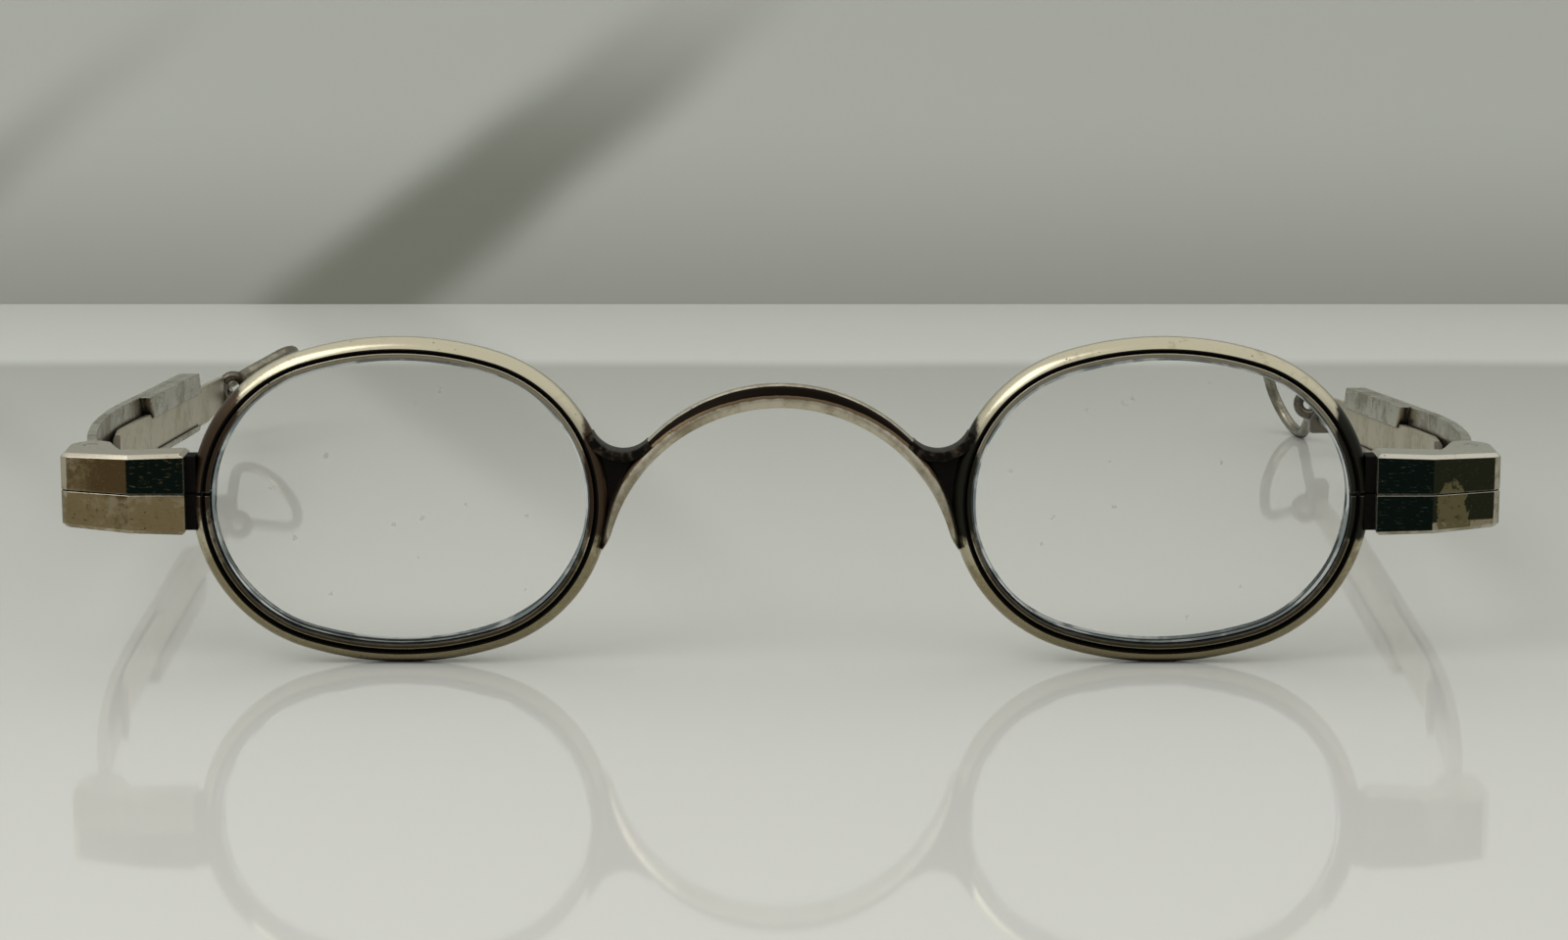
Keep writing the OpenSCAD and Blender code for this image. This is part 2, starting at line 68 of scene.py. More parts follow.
# %% Places and sizes of the front
mm = 0.001
LEFT, RIGHT = -1, 1
SIDES = {"left": LEFT, "right": RIGHT}


def box(node):
    low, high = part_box(node)
    return low / mm, high / mm


joints = {joint["name"]: joint for joint in frame["joints"]}
rim_low, rim_high = box("right_rim")
lens_x, lens_plane, lens_z = (rim_low + rim_high) / 2
half_w, half_h = (rim_high.x - rim_low.x) / 2, (rim_high.z - rim_low.z) / 2
rim_end_r = 12.4                    # round ends of the oval
end_cx = half_w - rim_end_r         # their centres, left and right of the lens middle
oval_r = (end_cx ** 2 + half_h ** 2 - rim_end_r ** 2) / (2 * (half_h - rim_end_r))
side_cy = oval_r - half_h
end_angle = math.degrees(math.atan2(side_cy, end_cx))
hinge_x, hinge_y, hinge_z = (place / mm for place in joints["right_hinge"]["pos_m"])
hinge_back = hinge_y - lens_plane   # the hinge axis lies this far behind the lens plane
print("lens plane at", round(lens_plane, 2), "lens middle", round(lens_x, 2), round(lens_z, 2))
print("hinge at", round(hinge_x, 2), round(hinge_y, 2), round(hinge_z, 2))

# %% [markdown]
# The photograph was taken a little above the table, looking down by about eleven degrees, from so
# close that the temples taper away behind the lenses. A long lens on a camera at the same distance
# gives the same taper. A shifted lens could look down too, but upright lines lean together in the
# photograph, so the camera is tilted.

# %% Camera at the photograph's place
camera_data = bpy.data.cameras.new("photo_camera")
camera_data.sensor_width = 36
camera_data.lens = 90
camera_data.clip_start = 0.01
camera = bpy.data.objects.new("photo_camera", camera_data)
camera_aside, camera_distance, camera_height = 0.27, 301.38, 74.46
camera_pitch = math.radians(11.09)
camera.location = Vector((camera_aside, lens_plane - camera_distance, camera_height)) * mm
camera.rotation_euler = (math.radians(90) - camera_pitch, 0, 0)
bpy.context.scene.collection.objects.link(camera)
bpy.context.scene.camera = camera
print("camera at", [round(v, 4) for v in camera.location])

# %% [markdown]
# A finish is a small network of shader nodes. Written as nodes and links it is long and hard to
# read, so one class wraps a socket and lets it be used in plain arithmetic: 1 - wear is a Subtract
# node. A second class holds the network and makes every other kind of node with one method.

# %% Shader arithmetic
class Wire:
    """One output of a shader node. Sums and products of wires add Math nodes."""

    def __init__(self, graph, socket):
        self.graph, self.socket = graph, socket

    def maths(self, operation, first, second):
        return self.graph.node("Math", {"operation": operation}, {0: first, 1: second})

    def __add__(self, other):
        return self.maths("ADD", self, other)

    def __radd__(self, other):
        return self.maths("ADD", other, self)

    def __sub__(self, other):
        return self.maths("SUBTRACT", self, other)

    def __rsub__(self, other):
        return self.maths("SUBTRACT", other, self)

    def __mul__(self, other):
        return self.maths("MULTIPLY", self, other)

    def __rmul__(self, other):
        return self.maths("MULTIPLY", other, self)

    def __pow__(self, power):
        return self.maths("POWER", self, power)


class Graph:
    """The node network of a material, or of the world."""

    def __init__(self, name, owner=None, shader="Principled BSDF"):
        self.owner = owner or bpy.data.materials.new(name)
        self.owner.use_nodes = True
        self.nodes = self.owner.node_tree.nodes
        self.links = self.owner.node_tree.links
        self.shader = self.nodes[shader]

    def node(self, kind, settings=None, inputs=None, output=0):
        made = self.nodes.new("ShaderNode" + kind)
        for name, value in (settings or {}).items():
            setattr(made, name, value)
        for name, value in (inputs or {}).items():
            self.feed(made.inputs[name], value)
        return Wire(self, made.outputs[output])

    def feed(self, socket, value):
        if isinstance(value, Wire):
            self.links.new(value.socket, socket)
        else:
            socket.default_value = value

    def set(self, **sockets):
        for name, value in sockets.items():
            self.feed(self.shader.inputs[name.replace("_", " ")], value)

    def mix(self, amount, first, second):
        return self.node("Mix", {"data_type": "RGBA"}, {0: amount, 6: first, 7: second}, 2)

    def between(self, value, low, high):
        """0 below low, 1 above high, and smooth between. With high below low it runs the other way."""
        return self.node("MapRange", {"interpolation_type": "SMOOTHSTEP"}, {0: value, 1: low, 2: high})

    def place(self, stretch=(1, 1, 1)):
        """Where a point is, in millimetres, stretched along an axis when a grain should run along it."""
        coordinates = self.node("TexCoord", None, None, "Object")
        scale = [s / mm for s in stretch]
        return self.node("VectorMath", {"operation": "MULTIPLY"}, {0: coordinates, 1: scale})

    def axis(self, vector, name):
        return self.node("SeparateXYZ", None, {0: vector}, name)

    def facing(self, direction):
        """1 where the surface faces a direction, 0 where it is square to it, and less behind."""
        normal = self.node("NewGeometry", None, None, "Normal")
        return self.node("VectorMath", {"operation": "DOT_PRODUCT"}, {0: normal, 1: direction}, "Value")

    def noise(self, where, size, detail=2.0, roughness=0.5):
        """Smooth mottling whose patches are about size millimetres across."""
        return self.node("TexNoise", None, {"Vector": where, "Scale": 1 / size, "Detail": detail,
                                            "Roughness": roughness})

    def dots(self, where, density):
        """Distance to the nearest of many scattered points, with density points in a millimetre."""
        return self.node("TexVoronoi", {"feature": "F1"}, {"Vector": where, "Scale": density,
                                                           "Randomness": 1.0}, "Distance")


print("shader classes ready")

# %% [markdown]
# Coin silver of this age is never one colour. Handling keeps the raised edges pale, a warm toning
# settles on the flats, and polish and dirt turn black in the corners. Here the corners come from
# Ambient Occlusion, which measures how boxed-in a point is, the edges from the Bevel node, whose
# rounded normal leaves the flat one near an edge, and the toning from noise. A stain is a colour with
# a mask of its own, for the patches that one piece has and the others don't. A painted image could
# show all this too, but nodes need no unwrapping and stay sharp from close up.

# %% Worn silver
def colour(red, green, blue):
    return (red, green, blue, 1.0)


BLACK = colour(0.0025, 0.002, 0.0015)
PIT_BROWN = colour(0.04, 0.03, 0.02)
edge_reach, corner_reach, bump_height = 0.14, 0.55, 0.03


def silver(name, pale, toned, tone=None, stains=(), grain=(0.15, 1.0, 1.0), roughness=0.3,
           wear=0.5, brushed=1.0):
    """Silver between a pale and a toned colour. Tone says where the toned one lies, grain which way
    the scratches run, wear how pale the edges are, and brushed how strong the scratches are."""
    graph = Graph(name)
    where = graph.place()
    broad = graph.noise(where, 5.0, 3.0, 0.6)
    fine = graph.noise(where, 0.7, 4.0, 0.65)
    ragged = fine - 0.5
    scratched = (graph.noise(graph.place(grain), 0.06, 3.0, 0.7) - 0.5) * brushed
    toning = graph.between(broad * 0.6 + fine * 0.4, 0.42, 0.66)
    if tone:
        toning = graph.between(tone(graph, where) + (toning - 0.35) * 0.7, 0.1, 0.9)
    metal = graph.mix(toning, pale, toned)
    dull = toning
    for mask, stain in stains:
        worn = graph.between(mask(graph, where) + ragged * 0.5 + scratched * 0.35, 0.35, 0.65)
        metal = graph.mix(worn, metal, stain)
        dull = graph.between(dull + worn, 0.0, 1.6)
    soft = graph.node("Bevel", {"samples": 6}, {"Radius": edge_reach * mm})
    edge = graph.between(graph.facing(soft) + ragged * 0.1, 0.97, 0.84)
    metal = graph.mix(edge * wear, metal, pale)
    pits = graph.between(graph.dots(where, 1.3) + ragged * 0.2, 0.13, 0.06)
    pitted = pits * graph.between(broad, 0.46, 0.58)
    metal = graph.mix(pitted * 0.85, metal, PIT_BROWN)
    corners = graph.node("AmbientOcclusion", {"samples": 6}, {"Distance": corner_reach * mm}, "AO")
    dirt = graph.between(corners + ragged * 0.3, 0.82, 0.45)
    metal = graph.mix(dirt * 0.96, metal, BLACK)
    height = graph.noise(where, 1.3, 2.0) * 0.6 + scratched * 0.14 - pitted * 0.5
    bump = graph.node("Bump", None, {"Strength": 0.5, "Distance": bump_height * mm, "Height": height,
                                     "Normal": soft})
    rough = roughness + dull * 0.14 + scratched * 0.16 + dirt * 0.3
    graph.set(Base_Color=metal, Metallic=1.0, Normal=bump, Roughness=graph.between(rough, 0.0, 1.0))
    return graph.owner


def tarnish(name, shade, roughness):
    """A dark finish that hardly reflects: the black of old polish and sulphide, and painted shade in gaps.
    """
    graph = Graph(name)
    mottled = graph.noise(graph.place(), 0.6, 4.0, 0.6)
    graph.set(Base_Color=graph.mix(graph.between(mottled, 0.45, 0.7), BLACK, shade), IOR=1.15,
              Roughness=graph.between(roughness + (mottled - 0.5) * 0.3, 0.0, 1.0))
    return graph.owner


print("silver and tarnish ready")

# %% [markdown]
# The stains of the rims lie where the photograph has them: black by the saddles, a brown bloom on
# the left rim, and black on the temple side of the right one. A mask could be painted on the mesh,
# but soft steps along the axes are shorter, and are easy to move. The masks measure from the middle
# of a lens, in millimetres, and the band and the lip of a rim share them.

# %% Rim finishes
toning_top, toning_low = 3, -9      # heights over the lens middle where the toning starts and is full


def low_down(graph, where):
    """Toning that deepens towards the table."""
    return graph.between(graph.axis(where, "Z"), lens_z + toning_top, lens_z + toning_low)


def region(graph, where, side, across, up):
    """A soft step sideways times one upwards. Each runs from 0 at its first place to 1 at its second."""
    x, z = graph.axis(where, "X"), graph.axis(where, "Z")
    sideways = graph.between(x, side * lens_x + across[0], side * lens_x + across[1])
    return sideways * graph.between(z, lens_z + up[0], lens_z + up[1])


def inside(graph, where, side):
    """The half of the band that faces the lens is browner, because a cloth doesn't reach it."""
    middle = (side * lens_x, lens_plane, lens_z)
    inwards = graph.node("VectorMath", {"operation": "SUBTRACT"}, {0: middle, 1: where})
    inwards = graph.node("VectorMath", {"operation": "NORMALIZE"}, {0: inwards})
    return graph.between(graph.facing(inwards), 0.1, 0.75) * 0.62


def nose_dark(graph, where, side):
    """Both rims are dark with polish where the saddles meet them."""
    return region(graph, where, side, (-side * 13.4, -side * 15.4), (-5, -1))


def left_inside(graph, where):
    return inside(graph, where, LEFT)


def right_inside(graph, where):
    return inside(graph, where, RIGHT)


def left_dark(graph, where):
    """The upper temple side of the left rim has a dark brown bloom."""
    return region(graph, where, LEFT, (-10.8, -13.6), (-7, 3)) * 0.85 + nose_dark(graph, where, LEFT)


def right_dark(graph, where):
    """The temple side of the right rim is almost black."""
    return region(graph, where, RIGHT, (12.4, 14.6), (-4.5, -1.5)) + nose_dark(graph, where, RIGHT)


cream, olive, soot = colour(0.47, 0.435, 0.315), colour(0.24, 0.205, 0.12), colour(0.02, 0.02, 0.015)
around_rim = (1.0, 1.0, 0.3)
rim_silver = {
    "left": silver("left_rim_silver", cream, olive, low_down,
                   [(left_inside, colour(0.15, 0.115, 0.065)), (left_dark, colour(0.06, 0.04, 0.025))],
                   grain=around_rim),
    "right": silver("right_rim_silver", cream, olive, low_down,
                    [(right_inside, colour(0.15, 0.12, 0.07)), (right_dark, soot)], grain=around_rim)}
# The lip's dark colours are painted dark reflection, for its flat face toward the front.
lip_silver_painted_dark = {
    "left": silver("left_lip_silver", colour(0.22, 0.19, 0.14), colour(0.045, 0.036, 0.024), low_down,
                   [(left_dark, colour(0.04, 0.026, 0.017))], wear=0.6),
    "right": silver("right_lip_silver", colour(0.2, 0.18, 0.14), colour(0.04, 0.034, 0.024), low_down,
                    [(right_dark, soot)], wear=0.6)}
# Black for the rims' turned line, and painted shade on the necks in the gaps at the end pieces.
groove_and_gap_black = tarnish("groove_and_gap_black", colour(0.005, 0.004, 0.003), 0.6)
print("rim finishes:", [material.name for material in (*rim_silver.values(), *lip_silver_painted_dark.values())])

# %% [markdown]
# The temples are plainer. Their straps were rubbed lengthwise, which the long grain shows. The
# sliding ones are paler, but for the tab in front, darkened with painted shade, and the small parts at
# the rear are dull, the collars painted dark as a painted dark reflection.

# %% Temple finishes
along_strap = (1.0, 0.08, 1.0)
tab_dark_y, tab_fade = hinge_y + 23, 2.5


def tab_painted_shade(graph, where):
    """Painted shade on the flared front of the sliding strap, which lies in shadow."""
    return graph.between(graph.axis(where, "Y"), tab_dark_y + tab_fade, tab_dark_y)


strap_silver = silver("strap_silver", colour(0.41, 0.385, 0.31), colour(0.19, 0.165, 0.115),
                      grain=along_strap, brushed=0.4)
# The tab's dark is painted shade.
slide_silver = silver("slide_silver", colour(0.56, 0.51, 0.4), colour(0.42, 0.37, 0.27), None,
                      [(tab_painted_shade, colour(0.12, 0.1, 0.07))], along_strap, roughness=0.4, brushed=0.4)
loop_silver = silver("loop_silver", colour(0.3, 0.28, 0.22), colour(0.12, 0.105, 0.07))
# The collars' dark colours are painted dark reflection, for the bead that faces the front.
collar_painted_dark = silver("collar_painted_dark", colour(0.12, 0.105, 0.08), colour(0.02, 0.016, 0.012), wear=0.3)
screw_steel = silver("screw_steel", colour(0.4, 0.38, 0.33), colour(0.1, 0.08, 0.06))
print("finishes so far:", len([material for material in bpy.data.materials if material.use_nodes]))

# %% [markdown]
# Most pieces are a skin over a row of cross-sections, each with the same number of points. One class
# collects such skins, and its last method turns them into metres, puts the mesh on its moving body
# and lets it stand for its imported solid, so a temple that folds takes its finish with it. Boxes with
# modifiers could give such forms too, but sections place every corner where the metal has it.


class Piece:
    def __init__(self, name):
        self.name, self.points, self.faces, self.finishes = name, [], [], []

    def skin(self, sections, ring=False, finish=0, strips=None, rows=None):
        """Joins each section to the next. A ring also joins the last to the first, and isn't capped.
        A strip along the skin, or a row between two sections, can have a finish of its own."""
        count, first = len(sections[0]), len(self.points)
        strips = {j % count: number for j, number in (strips or {}).items()}
        for section in sections:
            self.points += [Vector(point) * mm for point in section]
        for i in range(len(sections) if ring else len(sections) - 1):
            here, there = first + i * count, first + ((i + 1) % len(sections)) * count
            for j in range(count):
                k = (j + 1) % count
                self.faces.append((here + j, here + k, there + k, there + j))
                self.finishes.append(strips.get(j, (rows or {}).get(i, finish)))
        if not ring:
            last = first + (len(sections) - 1) * count
            self.faces += [tuple(range(first, first + count)), tuple(range(last, last + count))]
            self.finishes += [finish, finish]
        return self

    def finish(self, node, *materials, sharp=28):
        mesh = bpy.data.meshes.new(self.name)
        mesh.from_pydata(self.points, [], self.faces)
        mesh.polygons.foreach_set("material_index", self.finishes)
        shape = bmesh.new()
        shape.from_mesh(mesh)
        bmesh.ops.recalc_face_normals(shape, faces=shape.faces)
        shape.to_mesh(mesh)
        shape.free()
        mesh.shade_smooth()
        mesh.set_sharp_from_angle(angle=math.radians(sharp))
        for material in materials:
            mesh.materials.append(material)
        made = bpy.data.objects.new(self.name, mesh)
        bpy.context.scene.collection.objects.link(made)
        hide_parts(node)
        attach(made, frame["nodes"][node]["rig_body"])
        return made


def steps(start, end, count):
    return [start + (end - start) * i / count for i in range(count + 1)]


def on_circle(radius, angle):
    """Across and up from the middle of a circle, at an angle in degrees."""
    return radius * math.cos(math.radians(angle)), radius * math.sin(math.radians(angle))


def around(across, up, radius, angles):
    """Points of a circle whose middle is so far across and up."""
    return [(across + x, up + y) for x, y in (on_circle(radius, angle) for angle in angles)]


def rounded(corners, radius, bends=3):
    """An outline whose corners are turned into small curves."""
    made = []
    for i, corner in enumerate(corners):
        corner = Vector(corner)
        back, on = Vector(corners[i - 1]) - corner, Vector(corners[(i + 1) % len(corners)]) - corner
        reach = min(radius, 0.48 * back.length, 0.48 * on.length)
        start, end = corner + back.normalized() * reach, corner + on.normalized() * reach
        for t in steps(0, 1, bends):
            made.append(start * (1 - t) ** 2 + corner * 2 * t * (1 - t) + end * t ** 2)
    return made


def hand(t, seed=0.0):
    """The unevenness of hand work along a length, between -1 and 1."""
    return (math.sin(t + seed) + 0.6 * math.sin(2.3 * t + 2 * seed) + 0.4 * math.sin(5.1 * t + 3 * seed)) / 2


full_turn, wire_turn = steps(0, 350, 35), steps(0, 337.5, 15)      # the corners of a disc and of a wire
print("skins ready")

# %% [markdown]
# The rims are one drawn section bent to an oval of four arcs. Its angle is measured from the temple
# side, so one formula gives a point of the oval from the direction that its edge faces. The section
# is a half-round band, a turned line and a lip with the vee that holds the lens. The band and lip
# waver a little, as filed and soldered work does. Band, line and lip each have a finish of their
# own, given by strips of faces along the ring, so that their borders stay as sharp as the section.
# A curve with a bevel object would bend the section as well, but the section couldn't waver.

# %% Rims
band_depth, band_w, line_w, line_cut = 2.5, 0.95, 0.2, 0.45
lip_w, lip_depth, vee_w, vee_cut, split_gap = 0.42, 2.1, 1.1, 0.6, 0.3
lip_waver = 0.06
band_r = band_depth / 2
rim_t = band_w + line_w + lip_w
vee_tip = rim_t - vee_cut
band_strips = 24


def on_oval(side, angle, inwards, y):
    """A point of the oval whose edge faces this angle, so far inside the outer edge."""
    turn = (angle + 180) % 360 - 180
    if abs(turn) <= end_angle:
        middle, radius = (end_cx, 0), rim_end_r
    elif abs(turn) >= 180 - end_angle:
        middle, radius = (-end_cx, 0), rim_end_r
    else:
        middle, radius = (0, -math.copysign(side_cy, turn)), oval_r
    x, z = around(*middle, radius - inwards, [turn])[0]
    return Vector((side * (lens_x + x), lens_plane + y, lens_z + z))


def rim_section(waver):
    """Distances inwards and backwards round the section. Waver moves the lip's inner edge."""
    band_end = math.degrees(math.acos(1 - band_w / band_r))
    band = [(band_r - x, y) for x, y in around(0, 0, band_r, steps(-band_end, band_end, band_strips))]
    lip, floor = lip_depth / 2, lip_depth / 2 - line_cut
    inner, groove = rim_t + lip_waver * waver, rim_t - lip_w
    edge = [(groove, floor), (groove, lip - 0.1), (groove + 0.05, lip - 0.02), (groove + 0.13, lip),
            (inner - 0.14, lip), (inner - 0.04, lip - 0.04), (inner, lip - 0.14), (inner, vee_w / 2)]
    bottom = [(band_w - 0.03, floor)]
    return band + bottom + edge + [(vee_tip, 0)] + [(x, -y) for x, y in reversed(bottom + edge)]


line_strips = (0, *range(band_strips - 1, band_strips + 4), *range(-4, 0))
lip_strips = range(band_strips + 4, band_strips + 15)
rim_strips = {j: 1 for j in line_strips} | {j: 2 for j in lip_strips}
split_angle = math.degrees(math.asin((hinge_z - lens_z) / rim_end_r))
split_half = math.degrees(split_gap / 2 / rim_end_r)
for name, side in SIDES.items():
    sections = []
    for turn in steps(split_angle + split_half, split_angle + 360 - split_half, 240):
        outline = rim_section(hand(math.radians(turn), side))
        sections.append([on_oval(side, turn, inwards, y) for inwards, y in outline])
    rim = Piece("worn_" + name + "_rim").skin(sections, strips=rim_strips)
    rim = rim.finish(name + "_rim", rim_silver[name], groove_and_gap_black, lip_silver_painted_dark[name])
    print(rim.name, len(rim.data.polygons), "faces")

# %% [markdown]
# The lenses are thick ground glass, almost without colour. Each is a pile of ovals from the middle
# of the front face, over the ground bevel to the pointed edge in the vee, and back again. The bevel's
# width is uneven, as the chipped edge in the photograph is. Such a weak lens hardly moves what lies
# behind it, so the faces let light straight through by their Alpha, which grows where the glass is
# seen edge-on, as its shine does. The ground bevel scatters light, so it is a pale ring round the
# face, and from there into the vee it is painted dark, a painted dark reflection of the rim's groove.

# %% Lenses
lens_t, lens_face_r, lens_waver = 1.8, 320, 0.1
bevel_w, bevel_dark_w, bevel_y, edge_y = 0.26, 0.1, 0.65, 0.5
edge_lap, vee_clear = 0.02, 0.06


def lens_half(r):
    return lens_t / 2 - lens_face_r + math.sqrt(lens_face_r ** 2 - r ** 2)


def lens_glass():
    graph = Graph("lens_glass")
    where = graph.place()
    smear = graph.between(graph.noise(where, 6.0, 4.0, 0.6), 0.5, 0.9)
    chips = graph.between(graph.dots(where, 0.3) + (graph.noise(where, 0.5) - 0.5) * 0.3, 0.07, 0.03)
    sheen = graph.node("LayerWeight", None, {"Blend": 0.25}, "Fresnel")
    seen = graph.between(0.07 + smear * 0.04 + chips * 0.4 + sheen * 0.5, 0.0, 1.0)
    tint = graph.mix(chips, colour(0.66, 0.74, 0.69), colour(0.4, 0.4, 0.36))
    graph.set(Base_Color=tint, IOR=1.5, Roughness=0.05 + smear * 0.08, Alpha=seen)
    return graph.owner


def ground_bevel(name, dark, pale, clear):
    """Ground glass between a dark and a pale colour. The clearer it is, the more shows through it,
    most in the pale streaks."""
    graph = Graph(name)
    streaks = graph.between(graph.noise(graph.place(), 3.0, 3.0, 0.6), 0.44, 0.6)
    graph.set(Base_Color=graph.mix(streaks, dark, pale), IOR=1.5, Roughness=0.3,
              Alpha=graph.between(streaks, 3.0, 1 - 3 * clear))
    return graph.owner


glass = lens_glass()
bevel_pale = ground_bevel("bevel_pale", colour(0.2, 0.24, 0.24), colour(0.62, 0.66, 0.64), 0.3)
# Near black in the vee: painted dark reflection of the rim's groove around it.
bevel_painted_dark = ground_bevel("bevel_painted_dark", colour(0.006, 0.008, 0.008), colour(0.04, 0.055, 0.055), 0.9)


def lens_ring(side, share, inwards, face):
    """One oval of the lens: a share of the way out, on the front (-1) or back (1) face or at a depth."""
    middle = Vector((side * lens_x, lens_plane, lens_z))
    ring = []
    for turn in steps(0, 357, 119):
        uneven = lens_waver * hand(math.radians(turn) * 2, side + 1.7) if share == 1 else 0
        point = middle + (on_oval(side, turn, inwards + uneven, 0) - middle) * share
        point.y = lens_plane + (face * lens_half((point - middle).length) if abs(face) == 1 else face)
        ring.append(point)
    return ring


shares = (0.03, 0.2, 0.4, 0.6, 0.8, 0.9, 1)
last = len(shares) - 1
ground = {last: 1, last + 5: 1} | {last + i: 2 for i in range(1, 5)}
half_edge = [(rim_t + bevel_dark_w, bevel_y), (rim_t - edge_lap, edge_y)]
profile = [(inwards, -y) for inwards, y in half_edge] + [(vee_tip + vee_clear, 0.0)] + half_edge[::-1]
for name, side in SIDES.items():
    front = [lens_ring(side, share, rim_t + bevel_w, -1) for share in shares]
    edge = [lens_ring(side, 0.9999, inwards, y) for inwards, y in profile]
    back = [lens_ring(side, share, rim_t + bevel_w, 1) for share in reversed(shares)]
    lens = Piece("ground_" + name + "_lens").skin(front + edge + back, rows=ground)
    lens = lens.finish(name + "_lens", glass, bevel_pale, bevel_painted_dark, sharp=12)
    print(lens.name, len(lens.data.polygons), "faces")

# %% [markdown]
# The bridge is a C of half-round section that thins towards its feet, because the circle of its
# outer side lies higher than that of its bore. The crown keeps a pale top edge, the rolled front of
# it is painted dark, a painted dark reflection with a brown fringe, and its underside is worn to a
# cream band. Such bands follow the curve, so their masks measure from the two circles and not along
# an axis. The section changes from crown to foot, which a bent curve object wouldn't give, so the
# arch is a skin as the rims are.

# %% Bridge
arch_r, crown_t, foot_t, foot_angle, arch_depth = 13.8, 1.8, 0.9, 75, 2.5
bridge_low, bridge_high = box("bridge")
arch_z = bridge_high.z - crown_t - arch_r
arch_rise = (crown_t - foot_t) / (1 - math.cos(math.radians(foot_angle)))
arch_outer_r, arch_outer_z = arch_r + crown_t - arch_rise, arch_z + arch_rise
foot_z, foot_fade, foot_cut = bridge_low.z, 1.6, 0.45     # the last of each leg thins over foot_fade


def arch_thickness(angle):
    """From the bore to the outer circle, whose centre lies higher, at an angle from the crown."""
    lean = math.radians(angle)
    aside = arch_rise * math.sin(lean)
    return (arch_rise * math.cos(lean) + math.sqrt(arch_outer_r ** 2 - aside ** 2)) - arch_r


def arch_section(angle):
    lean = math.radians(angle)
    outer = arch_r + arch_thickness(angle)
    fade = max(0.0, foot_z + foot_fade - (arch_z + arch_r * math.cos(lean))) / foot_fade
    bore = arch_r + foot_cut * fade ** 2
    round_r = arch_depth / 2
    section = [(max(bore + 0.02, outer - round_r + out), y * (1 - 0.25 * fade))
               for out, y in around(0, 0, round_r, steps(-90, 90, 18))]
    soft, flat = round_r - 0.05, round_r - 0.2
    section += [(bore + 0.06, soft), (bore, flat), (bore, -flat), (bore + 0.06, -soft)]
    return [Vector((out * math.sin(lean), lens_plane + y, arch_z + out * math.cos(lean)))
            for out, y in section]


def reach(graph, where, middle_z):
    """Distance from a circle's middle over the nose, in millimetres."""
    x, z = graph.axis(where, "X"), graph.axis(where, "Z") - middle_z
    return (x * x + z * z) ** 0.5


def roll(graph, where, above_bore, below_top):
    """A band along the arch, between a soft step over its bore and one under its outer side."""
    over = graph.between(reach(graph, where, arch_z) - arch_r, *above_bore)
    return over * graph.between(arch_outer_r - reach(graph, where, arch_outer_z), *below_top)


# Painted dark reflection: the black band on the rolled front of the arch.
def painted_reflection_roll(graph, where):
    return roll(graph, where, (0.9, 1.12), (0.08, 0.2))


def painted_reflection_fringe(graph, where):
    """Brown, the fringe of the painted dark reflection, between the black roll and the cream underside,
    and on the outer side of the legs.
    """
    return roll(graph, where, (0.5, 0.95), (0.05, 0.3)) * 0.8


# The black roll and its brown fringe are painted dark reflection.
arch_silver = silver("arch_silver", colour(0.47, 0.43, 0.33), colour(0.25, 0.21, 0.135), None,
                     [(painted_reflection_fringe, colour(0.12, 0.085, 0.05)),
                      (painted_reflection_roll, colour(0.007, 0.005, 0.0035))], wear=0.2)
lowest_angle = math.degrees(math.acos((foot_z + 0.1 - arch_z) / arch_r))
arch = Piece("worn_bridge")
arch.skin([arch_section(angle) for angle in steps(-lowest_angle, lowest_angle, 90)])
arch.finish("bridge", arch_silver)
print("arch from", round(-lowest_angle, 1), "to", round(lowest_angle, 1), "degrees")

# %% [markdown]
# Between arch and rim sits a hollow saddle: a curved flange with a thin web sunk behind it, coloured
# near black. Cutting the hollow out of a block would leave rough edges, so flange and web are skins
# too. The flange's circle touches the arch and the rim, which gives its middle from three radii.

# %% Saddles
saddle_r, saddle_t, saddle_depth, web_t = 2.6, 0.8, 2.2, 0.9
flange_blend, flange_tip = 0.35, 0.3      # the share that tapers at each end, and what is left there
flange_lap, rim_lap, arch_lap = 0.3, 0.35, 0.3      # how far the web reaches into its neighbours
nose_x, rise = lens_x - end_cx, lens_z - arch_outer_z
to_arch, to_rim, apart = arch_outer_r + saddle_r, rim_end_r + saddle_r, math.hypot(nose_x, rise)
along = (to_arch ** 2 - to_rim ** 2 + apart ** 2) / (2 * apart)
aside = math.sqrt(to_arch ** 2 - along ** 2)
saddle_x = (along * nose_x - aside * rise) / apart
saddle_z = arch_outer_z + (along * rise + aside * nose_x) / apart
arch_way = math.degrees(math.atan2(arch_outer_z - saddle_z, -saddle_x)) + 360
rim_way = math.degrees(math.atan2(lens_z - saddle_z, nose_x - saddle_x)) + 360


def flange_section(side, angle):
    """The flange thins away where it meets the arch and the rim."""
    end = min(angle - rim_way, arch_way - angle) / (arch_way - rim_way)
    blend = min(1.0, max(0.0, end / flange_blend))
    half = saddle_depth / 2 * (flange_tip + (1 - flange_tip) * math.sin(math.radians(90 * blend)))
    outer = saddle_r + saddle_t
    section = []
    for r, y in rounded([(saddle_r, -half), (outer, -half), (outer, half), (saddle_r, half)], 0.2):
        x, z = on_circle(r, angle)
        section.append(Vector((side * (saddle_x + x), lens_plane + y, saddle_z + z)))
    return section


def web_outline(side):
    """Three arcs, along the flange, down the rim's band to the foot, and up the arch."""
    hollow = around(saddle_x, saddle_z, saddle_r + flange_lap, steps(arch_way, rim_way, 12))
    rim_side = around(nose_x, lens_z, rim_end_r - rim_lap, steps(158, 196, 8))
    arch_side = around(0, arch_z, arch_r + arch_lap, steps(92 - lowest_angle, 42, 8))
    return [(side * x, z) for x, z in hollow + rim_side + arch_side]


